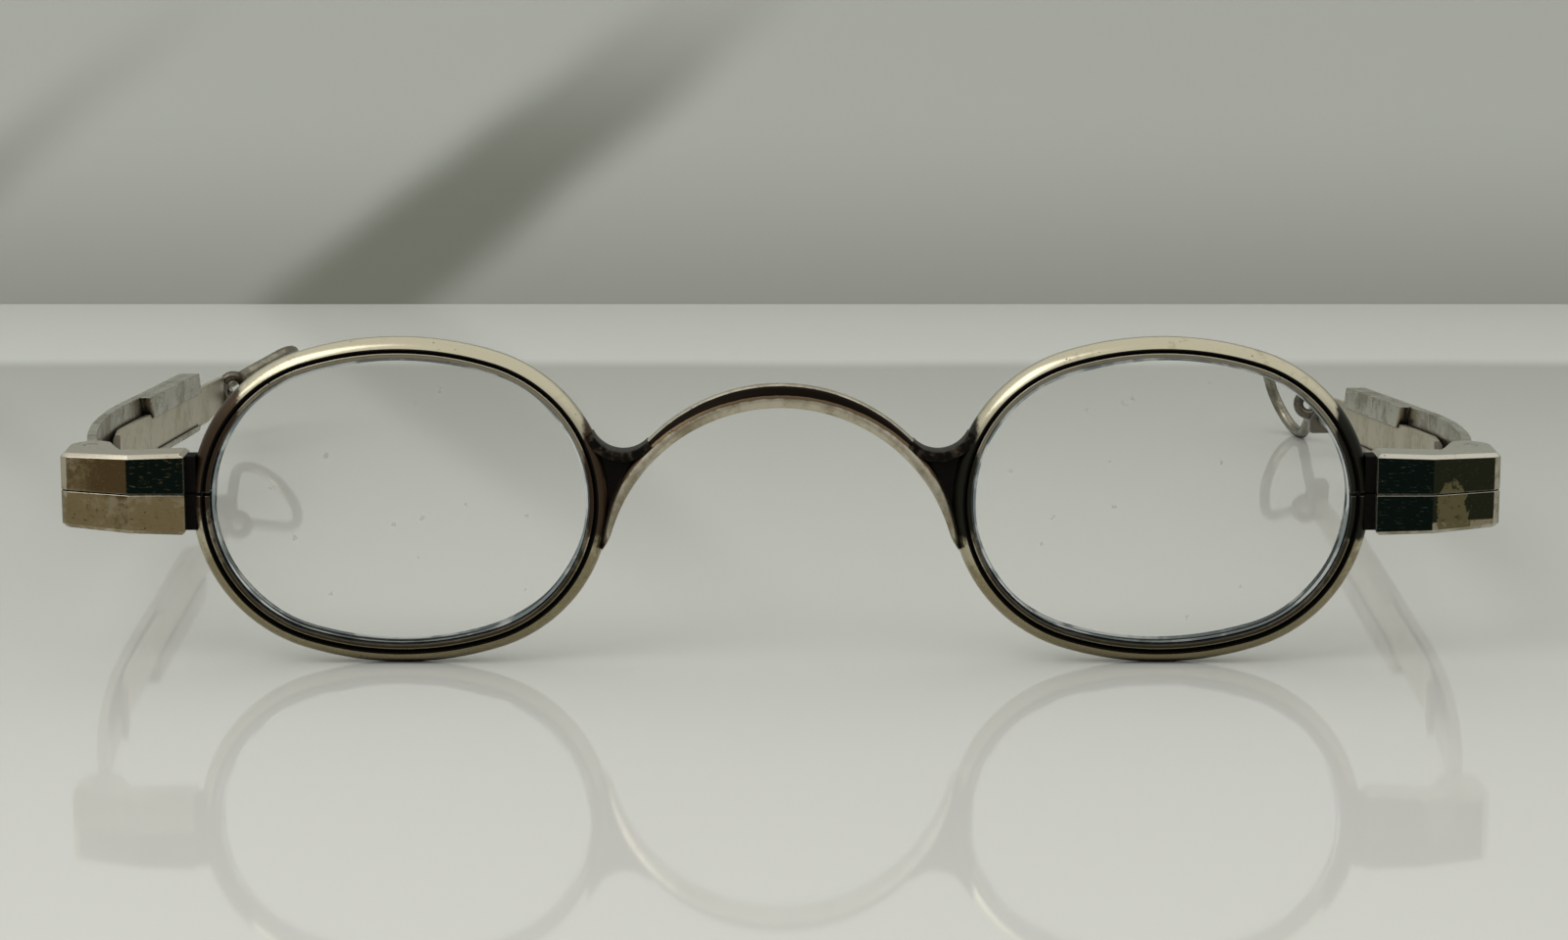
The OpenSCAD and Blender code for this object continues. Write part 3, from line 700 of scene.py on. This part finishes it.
web_black = tarnish("web_black", colour(0.005, 0.002, 0.0015), 0.5)
flange_brown = tarnish("flange_brown", colour(0.045, 0.034, 0.022), 0.42)
for name, side in SIDES.items():
    flange = Piece("worn_" + name + "_flange")
    flange.skin([flange_section(side, angle) for angle in steps(arch_way, rim_way, 32)])
    flange.finish("bridge", flange_brown)
    web = Piece("sunk_" + name + "_web")
    web.skin([[Vector((x, lens_plane + y, z)) for x, z in web_outline(side)]
              for y in (-web_t / 2, web_t / 2)])
    web.finish("bridge", web_black)
    print(name, "saddle at", round(side * saddle_x, 2), round(saddle_z, 2))

# %% [markdown]
# Each end piece is coloured in its own way, and the masks follow the photograph. Much of it is
# painted light: the front facets are painted dark as a dark reflection of what lies in front of them,
# and the top is painted pale where it faces up. On its left the inner facet's upper half is black
# with fine scratches, a painted dark reflection, and the outer facet warm brown, partly toning and
# partly painted dark reflection, above an olive lower half. On its right the inner facet is
# blue-black and the outer one olive-black, both painted dark reflection, but for a tan patch beside
# the edge between them and a tan strip along the bottom. The masks multiply soft steps, taken from
# that edge and from the height of the split, in millimetres.

# %% End piece finishes
end_h_in, end_h_out, facet_l, facet_angle, side_facet = 6.5, 5.9, 5.05, 19, 0.55
barrel_r, end_gap = 1.9, 0.3
end_x, end_in_x = hinge_x + barrel_r, lens_x + half_w + end_gap
facet_x = end_x - side_facet - facet_l      # the edge between the inner and the outer facet


def rising(graph, where, low, high):
    """0 up to a height low over the split, and 1 past a height high."""
    return graph.between(graph.axis(where, "Z"), hinge_z + low, hinge_z + high)


def in_front(graph):
    return graph.between(graph.facing((0, -1, 0)), 0.75, 0.9)


def split_line(graph, where):
    return rising(graph, where, -0.1, -0.04) * rising(graph, where, 0.1, 0.04) * 0.6


def painted_facing_light(graph, where):
    """Painted light by facing: the front facets darker as a painted dark reflection, the underside
    a little darker as painted shade, and the top painted pale where it faces up.
    """
    return in_front(graph) * 0.4 + graph.between(graph.facing((0, 0, 1)), 0.6, -0.2) * 0.6


def left_inner_reflection(graph, where):
    """Painted dark reflection: black on the upper half of the inner facet."""
    inner = graph.between(graph.axis(where, "X"), -facet_x - 0.3, -facet_x + 0.1)
    return inner * rising(graph, where, -0.5, 0.3) * in_front(graph)


def left_brown(graph, where):
    """Warm brown on the outer facet, strongest at its inner edge and higher up, partly toning and
    partly painted dark reflection.
    """
    x = graph.axis(where, "X")
    outer = graph.between(x, -facet_x + 0.1, -facet_x - 0.1)
    shade = rising(graph, where, -0.6, 0.4) * 0.5 + graph.between(x, -facet_x - 4.2, -facet_x) * 0.45
    return outer * shade * in_front(graph)


def right_inner_reflection(graph, where):
    """Painted dark reflection: blue-black on the inner facet."""
    return graph.between(graph.axis(where, "X"), facet_x + 0.1, facet_x - 0.1) * in_front(graph)


def right_outer_reflection(graph, where):
    """Painted dark reflection: olive-black on the outer facet, which leaves a tan strip along the bottom."""
    return rising(graph, where, -2.5, -2.0) * in_front(graph) * 0.9


def right_patch(graph, where):
    """A worn tan patch by the inner edge of the outer facet, with a peak above it."""
    ragged = (graph.noise(where, 0.9, 4.0, 0.7) - 0.5) * 1.6
    out = graph.axis(where, "X") - facet_x + ragged
    up = graph.axis(where, "Z") - hinge_z + ragged
    patch = graph.between(out + up * 0.15, 3.3, 1.9) * graph.between(up, 0.5, -0.6)
    peak = graph.between(up + ((out - 1.5) ** 2.0) * 1.4, 2.1, 1.1) * 0.7
    worn = 0.55 + graph.between(graph.noise(where, 0.6, 3.0, 0.6), 0.35, 0.6) * 0.4
    return graph.between(patch + peak, 0.0, 1.2) * graph.between(out, 0.0, 0.6) * in_front(graph) * worn


def scuffs(graph, where):
    """Fine grey rubs all over the dark facets."""
    rubs = graph.noise(graph.place((0.22, 1.0, 1.0)), 0.16, 3.0, 0.6)
    return graph.between(rubs, 0.44, 0.7) * in_front(graph) * 0.56


def grainy(graph, where):
    """The olive facets have a fine upright grain."""
    grain = graph.noise(graph.place((1.0, 1.0, 0.25)), 0.3, 4.0, 0.65)
    return graph.between(grain, 0.45, 0.7) * in_front(graph) * 0.5


# Near black for the painted dark reflection on the end pieces' front facets.
reflected_black, across_end = colour(0.005, 0.009, 0.007), (0.1, 1.0, 1.0)
# The end pieces' front facets carry painted dark reflection, and their tops painted light.
end_silver = {
    "left": silver("left_end_silver", colour(0.46, 0.42, 0.33), colour(0.2, 0.155, 0.08), painted_facing_light,
                   [(grainy, colour(0.11, 0.08, 0.038)), (left_brown, colour(0.085, 0.055, 0.024)),
                    (left_inner_reflection, reflected_black), (scuffs, colour(0.11, 0.088, 0.05)), (split_line, BLACK)],
                   grain=across_end, wear=0.35),
    "right": silver("right_end_silver", colour(0.5, 0.475, 0.4), colour(0.26, 0.23, 0.15), painted_facing_light,
                    [(right_outer_reflection, colour(0.02, 0.022, 0.012)), (right_inner_reflection, reflected_black),
                     (scuffs, colour(0.035, 0.042, 0.034)), (right_patch, colour(0.13, 0.112, 0.055)),
                     (split_line, BLACK)],
                    grain=across_end, wear=0.35)}
print("end piece finishes:", [material.name for material in end_silver.values()])

# %% [markdown]
# An end piece is sawn along its middle into two halves that the hinge screw clamps, which closes the
# rim on its lens. Seen from above it is a faceted outline that ends in the round cheeks of the hinge,
# so each half is a pile of such outlines. Near the split the outline stops short of the cheeks, which
# leaves the slot for the temple's knuckle. A short neck, painted black as shade in the gap, joins each
# half to the rim. Booleans on a block would leave long thin faces here, which shade badly.

# %% End pieces
end_front, end_back, end_bevel, end_split, cheek_waist = 1.6, 1.5, 0.3, 0.06, 1.1
knuckle_r, knuckle_h, knuckle_gap, slot_gap = 1.6, 2.0, 0.06, 0.15
neck_half, neck_sunk, neck_lap = 0.95, 0.5, 0.3
facet_back = facet_l * math.tan(math.radians(facet_angle))


def end_outline(shrink):
    """The outline from above, a little smaller for the bevelled edges."""
    s, side_y = shrink, facet_back - end_front
    front = [(end_in_x + s, s - end_front), (facet_x, s - end_front),
             (end_x - side_facet - s * 0.3, side_y + s), (end_x - s, side_y + side_facet + s * 0.3)]
    cheek = around(hinge_x, hinge_back, barrel_r - s, steps(0, 180, 14))
    inside_edge = [(hinge_x - barrel_r - cheek_waist + s, end_back - s), (end_in_x + s, end_back - s)]
    return rounded(front, 0.06, 2) + cheek + inside_edge


def half_height(x):
    return end_h_in / 2 - (x - end_in_x) / (end_x - end_in_x) * (end_h_in - end_h_out) / 2


def end_slice(side, half, shrink, level=None, slot_cut=False):
    """One outline of the pile. Without a level it lies on the sloping top, less the bevel."""
    made = []
    for x, y in end_outline(shrink):
        if slot_cut:
            y = min(y, hinge_back - knuckle_r - slot_gap)
        up = half_height(x) - (end_bevel - shrink) if level is None else level
        made.append(Vector((side * x, lens_plane + y, hinge_z + half * up)))
    return made


def end_half(name, side, half):
    cheek, low, top = knuckle_h / 2 + knuckle_gap, end_split / 2, end_h_out / 2
    pile = [end_slice(side, half, shrink, level, True)
            for shrink, level in ((0.05, low), (0, low + 0.05), (0, cheek))]
    pile += [end_slice(side, half, 0, cheek)]
    pile += [end_slice(side, half, shrink) for shrink in (0, end_bevel * 0.4, end_bevel)]
    corners = [(-neck_half, low), (neck_half, low), (neck_half, top), (-neck_half, top)]
    neck = [[Vector((side * x, lens_plane + y, hinge_z + half * z)) for y, z in rounded(corners, 0.15)]
            for x in (lens_x + half_w - neck_sunk, end_in_x + neck_lap)]
    node = name + ("_end_upper" if half > 0 else "_end_lower")
    # The neck takes the black of the gaps: painted shade between end piece and rim.
    piece = Piece("worn_" + node).skin(pile).skin(neck, finish=1)
    return piece.finish(node, end_silver[name], groove_and_gap_black, sharp=24)


for name, side in SIDES.items():
    for half in (1, -1):
        made = end_half(name, side, half)
        print(made.name, len(made.data.polygons), "faces")

# %% [markdown]
# The hinge screw is a round shank with a slotted head in the underside. Only its top end shows, as
# a small disc over each end piece. A slot cut by a boolean would do, but the head is also just two
# halves with a gap between them.

# %% Hinge screws
screw_r, head_r, slot_w, head_h, head_proud, shank_proud = 0.6, 1.15, 0.3, 0.6, 0.05, 0.06
head_rings = ((head_r, head_h), (head_r, 0), (head_r - 0.1, -head_proud),
              (head_r - 0.4, -1.6 * head_proud))
end_low, end_top = hinge_z - end_h_out / 2, hinge_z + end_h_out / 2


def screw_ring(side, radius, z):
    disc = around(side * hinge_x, lens_plane + hinge_back, radius, full_turn)
    return [Vector((x, y, z)) for x, y in disc]


def head_half(side, across):
    """One side of the slotted head, which sits in the underside and stands a hair proud of it."""
    pile = []
    for radius, z in head_rings:
        ring = [(side * hinge_x + across * max(slot_w / 2, x), lens_plane + hinge_back + y, end_low + z)
                for x, y in around(0, 0, radius, steps(-82, 82, 16))]
        pile.append([Vector(point) for point in ring])
    return pile


for name, side in SIDES.items():
    top = end_top + shank_proud
    shank = ((screw_r, end_low + 0.3), (screw_r, top), (screw_r - 0.12, top + 0.03))
    screw = Piece("worn_" + name + "_screw").skin([screw_ring(side, r, z) for r, z in shank])
    for across in (1, -1):
        screw.skin(head_half(side, across))
    print(screw.finish(name + "_hinge_screw", screw_steel).name)

# %% [markdown]
# Each temple has a frame of its own: u runs back along the strap from the hinge axis, v away from
# the head, and w up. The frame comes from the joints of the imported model, because the sliding strap
# travels along u. The front strap is bowed, so its distance from the axis is that of a circle. An
# empty could carry these axes, but a function keeps all points in the one frame that the joints use.

# %% Temple frames
strap_h, strap_t, strap_l, strap_corner = 5.6, 0.8, 67, 1.7
strap_set, bow_l, bow_angle = 0.1, 36, 14.8
bow_r = bow_l / math.sin(math.radians(bow_angle))
strap_out = strap_set + bow_r * (1 - math.cos(math.radians(bow_angle)))
strap_in, strap_front = strap_out - strap_t, barrel_r + 0.4


def temple(name):
    """A function that places (v, u, w) of this temple."""
    hinge = Vector(joints[name + "_hinge"]["pos_m"]) / mm
    back = Vector(joints[name + "_extension"]["axis"])
    out = Vector((back.y, -back.x, 0)).normalized() * SIDES[name]
    up = out.cross(back) * SIDES[name]
    return lambda v, u, w: hinge + out * v + back * u + up * w


def bowed(face, u):
    """Distance of a face from the hinge axis, where the strap has it at face behind the bow."""
    if u >= bow_l:
        return face
    return strap_out - bow_r + math.sqrt((bow_r - strap_out + face) ** 2 - (bow_l - u) ** 2)


print("strap faces at", round(strap_in, 2), round(strap_out, 2))

# %% [markdown]
# The front strap is a flat bar of rolled silver, bowed outwards at the front and cut round at its
# rear. It is a row of thin upright sections. They sway a little, because a strap planished by hand
# is never quite flat. In front a short arm joins it to the knuckle, which turns in the end piece.

# %% Front straps
strap_waver, strap_soft, arm_sunk = 0.025, 0.14, 0.1


def strap_piece(name):
    place = temple(name)
    rear = around(strap_h / 2 - strap_corner, strap_l - strap_corner, strap_corner, steps(0, 90, 8))
    stations = [(strap_h / 2, u) for u in steps(strap_front, strap_l - strap_corner, 60)] + rear
    sections = []
    for half, u in stations:
        sway = strap_waver * hand(u / 4, SIDES[name])
        corners = [(strap_in, -half), (strap_out, -half), (strap_out, half), (strap_in, half)]
        sections.append([place(bowed(v, u) + sway, u, w) for v, w in rounded(corners, strap_soft)])
    neck_y = strap_front + strap_t
    arm = [(strap_set - strap_t, 0), (strap_set, 0), (bowed(strap_out, neck_y) - arm_sunk, neck_y),
           (bowed(strap_in, neck_y) + arm_sunk, neck_y)]
    piece = Piece("worn_" + name + "_temple_strap").skin(sections)
    for outline in (arm, around(0, 0, knuckle_r, full_turn)):
        piece.skin([[place(v, u, w) for v, u in outline] for w in (-knuckle_h / 2, knuckle_h / 2)])
    return piece.finish(name + "_temple_strap", strap_silver)


for name in SIDES:
    print(strap_piece(name).name)

# %% [markdown]
# The guide is one folded sheet: a back on the strap, a deep band over the top of the sliding strap
# and a small lip below. A folded surface could be thickened by Solidify, but the folds differ in
# depth, so one closed outline is drawn along the temple instead. Its front edge is slanted and its
# rear corners are round, so every point of the outline has a start and an end of its own.

# %% Slide guides
guide_front, guide_slant, guide_band, guide_t, guide_lip = 41, 5, 2, 0.2, 0.35
slide_gap, slide_t, slide_tuck = 0.06, 0.5, 0.35
guide_in = strap_in - guide_t
slide_out = guide_in - slide_gap
slide_in = slide_out - slide_t
slide_mid = (slide_out + slide_in) / 2
lip_out = slide_in - slide_gap
band_z = strap_h / 2 - guide_band
slide_top, slide_bottom = band_z + slide_tuck, guide_t + slide_gap - strap_h / 2


def guide_ends(w):
    start = guide_front + guide_slant * (0.5 - w / strap_h)
    past = max(0.0, abs(w) - (strap_h / 2 - strap_corner))
    return start, strap_l - strap_corner + math.sqrt(max(0.0, strap_corner ** 2 - past ** 2))


def guide_piece(name):
    place = temple(name)
    top, low, lip = strap_h / 2, -strap_h / 2, lip_out - guide_t
    roof, floor = slide_top + slide_gap, slide_bottom - slide_gap
    outline = rounded([(strap_in, low), (strap_in, top), (lip, top), (lip, band_z), (lip_out, band_z),
                       (lip_out, roof), (guide_in, roof), (guide_in, floor), (lip_out, floor),
                       (lip_out, floor + guide_lip), (lip, floor + guide_lip), (lip, low)], 0.1)
    ends = [guide_ends(w) for v, w in outline]
    sections = [[place(v, start + (end - start) * share, w)
                 for (v, w), (start, end) in zip(outline, ends)] for share in steps(0, 1, 30)]
    guide = Piece("worn_" + name + "_slide_guide").skin(sections)
    return guide.finish(name + "_slide_guide", strap_silver)


for name in SIDES:
    print(guide_piece(name).name)

# %% [markdown]
# The sliding strap is a thin bar that flares towards the head at its front, where a finger pushes
# it, and narrows at its rear. It could be bent from a plate with a lattice, but its height and its
# distance from the axis are simple functions of u, so its sections follow them.

# %% Sliding straps
tab_front, tab_l, tab_flare = 20, 9, 1.4
slide_end, slide_taper, slide_end_h = 81.4, 9, 2.9
slide_h = slide_top - slide_bottom


def slide_edges(u):
    """Lower and upper edge of the sliding strap at u."""
    corner = slide_h / 3
    short = max(0.0, tab_front + corner - u)
    cut = corner - math.sqrt(max(0.0, corner ** 2 - short ** 2))
    taper = max(0.0, u - (slide_end - slide_taper)) / slide_taper
    middle = -(slide_h - slide_end_h) / 2
    low = slide_bottom + (middle - slide_end_h / 2 - slide_bottom) * taper
    high = slide_top + (middle + slide_end_h / 2 - slide_top) * taper
    return low + cut, high - cut


def slide_piece(name):
    place = temple(name)
    nose = [tab_front + slide_h / 3 * (1 - math.cos(math.radians(a))) for a in steps(0, 80, 8)]
    sections = []
    for u in nose + steps(nose[-1] + 0.5, slide_end, 60):
        low, high = slide_edges(u)
        flare = tab_flare * max(0.0, tab_front + tab_l - u) / tab_l
        outline = rounded([(slide_in, low), (slide_out, low), (slide_out, high), (slide_in, high)], 0.1)
        sections.append([place(v - flare, u, w) for v, w in outline])
    return Piece("worn_" + name + "_slide_strap").skin(sections).finish(name + "_slide_strap", slide_silver)


for name in SIDES:
    print(slide_piece(name).name)

# %% [markdown]
# A collar closes the sliding strap, with a small round eye that faces the front. The collar is a
# column of outlines that narrows under the eye. A torus would do for the eye, but as a ring of
# circles, whose last is joined to its first, it lies in the collar's own mesh.

# %% Collars
collar_l, collar_w, collar_drop, eye_r, eye_wire_r = 2, 2.1, 2.9, 1.55, 0.5


def collar_piece(name):
    place = temple(name)
    half, mid, deep = collar_w / 2, slide_end + collar_l / 2, collar_l / 2
    levels = (          # height, inner side, outer side, and how much smaller
        (-collar_drop, -half, half, 0.15), (0.15 - collar_drop, -half, half, 0.02),
        (0.3 - collar_drop, -half, half, 0), (-1.3, -half, half, 0), (-0.8, -0.7, 0.95 * half, 0),
        (-0.4, -0.45, 0.7 * half, 0), (0.35, -0.45, 0.6 * half, 0.05), (0.6, -0.3, 0.4 * half, 0.2))
    column = []
    for w, inner, outer, shrink in levels:
        inner, outer = slide_mid + inner + shrink, slide_mid + outer - shrink
        front, back = mid - deep + shrink, mid + deep - shrink
        square = [(inner, front), (outer, front), (outer, back), (inner, back)]
        column.append([place(v, u, w) for v, u in rounded(square, 0.35)])
    eye = []
    for turn in full_turn:
        ring = []
        for out, back in around(eye_r - eye_wire_r, 0, eye_wire_r, wire_turn):
            x, z = on_circle(out, turn)
            ring.append(place(slide_mid - half + x, mid + back, z))
        eye.append(ring)
    collar = Piece("worn_" + name + "_collar").skin(column).skin(eye, ring=True)
    return collar.finish(name + "_slide_collar", collar_painted_dark)


for name in SIDES:
    print(collar_piece(name).name)

# %% [markdown]
# From the collar hangs the teardrop loop for a ribbon, of round wire. Its path is drawn in one
# plane, as two straight legs and an arc, and carries a circle at every point. A curve with a round
# bevel would give such a wire, but without the waver of hand work. Then the loop is leaned and
# turned towards the place that the photograph shows, which differs from left to right.

# %% Loops
loop_l, loop_h, wire_r, wire_waver = 14, 9.2, 0.55, 0.04
bend = {"left": 15, "right": 9}
lean = {"left": 46, "right": 22}
loop_arc_r, loop_centre, loop_root = loop_h / 2 - wire_r, loop_l - loop_h / 2, slide_end + collar_l
half_angle = math.degrees(math.asin(loop_arc_r / loop_centre))


def teardrop_path():
    """Points of the teardrop in its own plane, with the direction that faces outwards."""
    leg, turned = loop_centre * math.cos(math.radians(half_angle)), 90 + half_angle
    first = [(*on_circle(share * leg, -half_angle), -turned) for share in steps(0.0, 0.95, 14)]
    arc_turns = steps(-turned, turned, 48)
    arc_points = around(loop_centre, 0, loop_arc_r, arc_turns)
    arc = [(y, z, facing) for (y, z), facing in zip(arc_points, arc_turns)]
    return first + arc + [(y, -z, -facing) for y, z, facing in reversed(first)]


def loop_piece(name):
    place = temple(name)
    turn, tip = math.radians(bend[name]), math.radians(lean[name])
    sections = []
    for i, (y, z, facing) in enumerate(teardrop_path()):
        waver = wire_waver * hand(i / 7, SIDES[name] + 3)
        ring = []
        for out, thick in around(waver, 0, wire_r, wire_turn):
            back, up = around(y, z, out, [facing])[0]
            aside, up = (thick * math.cos(tip) - up * math.sin(tip),
                         thick * math.sin(tip) + up * math.cos(tip))
            ring.append(place(slide_mid + aside * math.cos(turn) - back * math.sin(turn),
                              loop_root + aside * math.sin(turn) + back * math.cos(turn), up))
        sections.append(ring)
    return Piece("worn_" + name + "_loop").skin(sections).finish(name + "_loop", loop_silver)


for name in SIDES:
    print(loop_piece(name).name)

# %% [markdown]
# The table is glossy white acrylic, which mirrors the spectacles softly. It ends a hand's breadth
# behind them in a brighter edge, a painted highlight, and painted shade darkens its white towards the
# back. Behind it hangs a pale grey-green cloth, with painted shade at its foot and in its folds and
# painted light above. Both could be modelled in the round, but two planes are enough, because a low
# roughness gives the reflection and masks paint the shade of the folds. All of it is stage, not part
# of the object.

# %% Table and backdrop
stage_w, cloth_top, fold_top = 1500, 170, 56
table_near, table_step, table_far = lens_plane - 1200, lens_plane + 144, lens_plane + 187


def plane(name, corners, material):
    mesh = bpy.data.meshes.new(name)
    mesh.from_pydata([Vector(corner) * mm for corner in corners], [], [(0, 1, 2, 3)])
    mesh.materials.append(material)
    made = bpy.data.objects.new(name, mesh)
    bpy.context.scene.collection.objects.link(made)
    return made


def one_sided(graph):
    """Nothing at all from behind, so that the cloth hides nothing from the other views."""
    clear = graph.node("BsdfTransparent")
    behind = graph.node("NewGeometry", None, None, "Backfacing")
    front = Wire(graph, graph.shader.outputs[0])
    seen = graph.node("MixShader", None, {0: behind, 1: front, 2: clear})
    graph.feed(graph.nodes["Material Output"].inputs["Surface"], seen)


def table_finish():
    """White acrylic, with a painted highlight in a brighter strip where its far edge catches the light,
    and painted shade that darkens it towards the back.
    """
    graph = Graph("table_white")
    where = graph.place()
    y = graph.axis(where, "Y")
    wavy = y + (graph.noise(where, 60) - 0.5) * 4
    # Painted highlight: a brighter strip along the far edge.
    strip = graph.between(wavy, table_step - 6, table_step + 2)
    strip = strip * graph.between(y, table_far + 0.2, table_far)
    # Painted shade: the white darkens towards the back.
    fade = graph.between(wavy, table_step, lens_plane - 60)
    base = graph.mix(fade, colour(0.45, 0.455, 0.42), colour(0.61, 0.61, 0.57))
    shade = graph.mix(strip, base, colour(0.72, 0.73, 0.69))
    graph.set(Base_Color=shade, Roughness=0.045, IOR=1.5)
    return graph.owner


def cloth_finish():
    """A cloth that hangs in slanted folds, a broad one and a thin one, with painted shade in the folds
    and at its foot, and painted light that pales it upwards.
    """
    graph = Graph("cloth_grey")
    where = graph.place()
    x, z = graph.axis(where, "X"), graph.axis(where, "Z")
    slant = x - z * 1.22 + (graph.noise(where, 40) - 0.5) * 8
    low = graph.between(z, fold_top, 4)
    # Painted shade in the folds.
    broad_fold = graph.between(slant, -72, -58) * graph.between(slant, -37, -51) * low
    thin_fold = graph.between(slant, -132, -120) * graph.between(slant, -108, -120) * low * 0.5
    folds = graph.between(broad_fold + thin_fold, 0.0, 1.0)
    # Painted shade at the foot of the cloth, and painted light that pales it upwards.
    shade = graph.mix(graph.between(z, -4, 26), colour(0.34, 0.35, 0.315), colour(0.5, 0.515, 0.475))
    shade = graph.mix(folds, shade, colour(0.2, 0.205, 0.17))
    shade = graph.mix(graph.between(z, 45, 130), shade, colour(0.75, 0.77, 0.74))
    graph.set(Base_Color=shade, Roughness=0.9)
    one_sided(graph)
    return graph.owner


table = plane("table", [(-stage_w, table_near, 0), (stage_w, table_near, 0), (stage_w, stage_w, 0),
                        (-stage_w, stage_w, 0)], table_finish())
backdrop = plane("backdrop", [(-stage_w, table_far, 0), (stage_w, table_far, 0),
                              (stage_w, table_far, cloth_top), (-stage_w, table_far, cloth_top)],
                 cloth_finish())
print("stage:", table.name, backdrop.name)

# %% [markdown]
# Polished silver shows its surroundings, so the light is half of its colour. The world is a dome
# that is bright above and dim at the horizon, as a room with light walls is, which gives the round
# edges a bright and a dark side. One softbox from the upper left lifts the faces that look there.

# %% Lights
softbox_place, softbox_size, softbox_power = Vector((-0.5, -0.45, 0.7)), 0.6, 2.2
softbox_data = bpy.data.lights.new("upper_left_softbox", "AREA")
softbox_data.shape, softbox_data.size, softbox_data.energy = "SQUARE", softbox_size, softbox_power
softbox = bpy.data.objects.new("upper_left_softbox", softbox_data)
softbox.location = softbox_place
softbox.rotation_euler = (-softbox_place).to_track_quat("-Z", "Y").to_euler()
bpy.context.scene.collection.objects.link(softbox)
world = bpy.data.worlds.new("studio")
bpy.context.scene.world = world
dome = Graph("studio", world, "Background")
height = dome.axis(dome.node("TexCoord", None, None, "Generated"), "Z")
horizon, zenith = colour(0.42, 0.42, 0.405), colour(1.0, 1.0, 0.985)
dome.set(Color=dome.mix(dome.between(height, 0.02, 0.62), horizon, zenith))
bpy.context.scene.view_settings.view_transform = "Standard"
